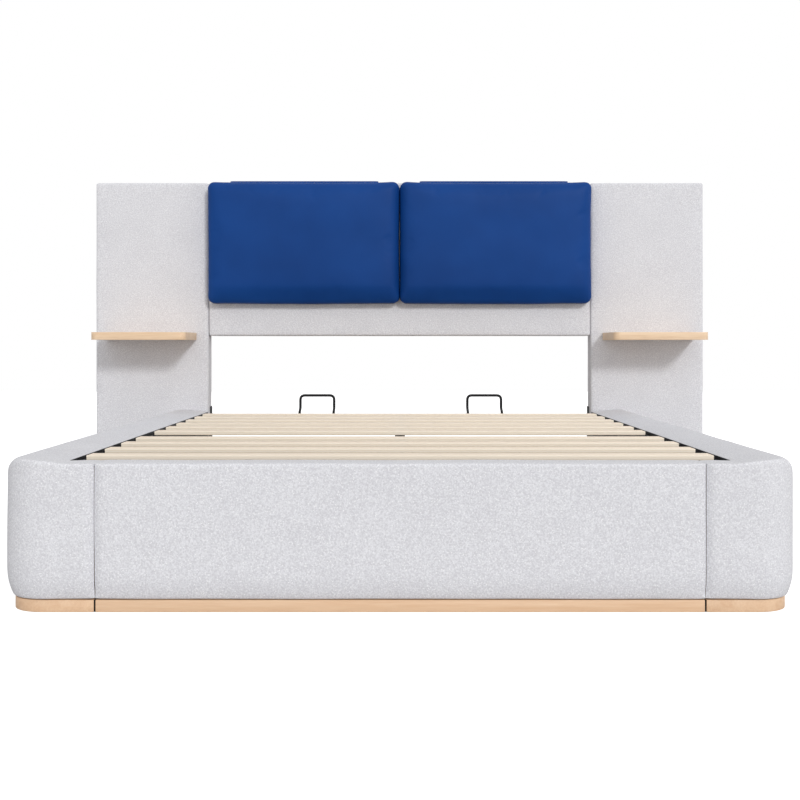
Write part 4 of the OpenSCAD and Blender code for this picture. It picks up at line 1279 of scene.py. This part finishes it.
def makeShelf(sideName):
    s = boardSet
    node = "shelf_" + sideName
    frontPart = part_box(node)[0].y + s["cornerReach"]
    bm = boardMesh(node, anywhere, s["shelfShift"], s["shelfEdge"], frontPart)
    name = "bedsideShelf" + sideName.title()
    sharpen(addPiece(name, bm, "bed_base", "veneer", [node], shelfGrain))


def makePlinthBoard(sideName, shifted, grain):
    node = "plinth_" + sideName
    bm = boardMesh(node, shifted, boardSet["jointShift"], boardSet["plinthEdge"])
    name = "plinthBoard" + sideName.title()
    sharpen(addPiece(name, bm, "bed_base", "veneer", [node], grain))


for sideName in ("left", "right"):
    makeShelf(sideName)
    makePlinthBoard(sideName, atCorner, sideGrain)
makePlinthBoard("foot", atFoot, materials["veneer"])


# Sizes of the black strip that paints shade into the plinth's joints
jointShadeStripSet = {"behind": 0.0025, "depth": 0.006, "lift": 0.0004, "edge": 0.0004}


# Black strip behind the open joint of the plinth: painted shade that makes the joint look deep and
# dark
def makeJointShadeStrip(sideName, side):
    s = jointShadeStripSet
    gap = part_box("plinth_right")[0].x - jointX
    low = Vector((jointX + boardSet["jointShift"], plinthFootLow.y + s["behind"], s["lift"]))
    high = Vector((low.x + gap, low.y + s["depth"], plinthFootHigh.z - s["lift"]))
    middle = (low + high) / 2
    bm = bmesh.new()
    addBlock(bm, high - low, (side * middle.x, middle.y, middle.z))
    bevelEdges(bm, bm.edges[:], s["edge"])
    addPiece("plinthJointShadeStrip" + sideName.title(), bm, "bed_base", "lining", [])


makeJointShadeStrip("left", -1)
makeJointShadeStrip("right", 1)
print("shelves and plinths made")


stapleSet = {
    "spacing": 0.062,
    "fromEdge": 0.007,
    "crown": 0.011,
    "wire": 0.0011,
    "edge": 0.0003,
    "flapSpan": (0.06, 0.71),  # the flaps hide the staples between these distances
    "flapDepth": 0.3,
}


# Boxes of the separate cloths in one node, from left to right
def islandBoxes(node):
    bm = bmesh.new()
    bm.from_mesh(nodes[node].data)
    bmesh.ops.remove_doubles(bm, verts=bm.verts, dist=nodeWeld)
    left, boxes = set(bm.verts), []
    while left:
        growing = [left.pop()]
        low, high = growing[0].co.copy(), growing[0].co.copy()
        while growing:
            vert = growing.pop()
            low = Vector(map(min, low, vert.co))
            high = Vector(map(max, high, vert.co))
            near = {e.other_vert(vert) for e in vert.link_edges} & left
            left -= near
            growing += near
        boxes.append((low, high))
    bm.free()
    return sorted(boxes, key=lambda box: box[0].x)


def stapleSpots(low, high):
    s = stapleSet
    spots = []
    for axis, other in ((0, 2), (2, 0)):
        count = round((high[axis] - low[axis]) / s["spacing"])
        for k in range(count):
            for edge in (low[other] + s["fromEdge"], high[other] - s["fromEdge"]):
                spot = Vector((0, high.y, 0))
                spot[axis] = mix(low[axis], high[axis], (k + 0.5) / count)
                spot[other] = edge
                spots.append((spot, axis))
    return spots


def makeStaples(name, node):
    s = stapleSet
    nearest, furthest = s["flapSpan"]
    bm = bmesh.new()
    for low, high in islandBoxes(node):
        onPanel = low.x < 0 < high.x
        for spot, axis in stapleSpots(low, high):
            underFlap = nearest < abs(spot.x) < furthest and spot.z > high.z - s["flapDepth"]
            if onPanel and underFlap:
                continue
            size = Vector((s["wire"], s["wire"], s["wire"]))
            size[axis] = s["crown"]
            addBlock(bm, size, spot)
    bevelEdges(bm, bm.edges[:], s["edge"], segments=1)
    addPiece(name, bm, "bed_base", "bright_steel", [])


makeStaples("dustClothStaples", "headboard_back_cloth")
print("staples made")
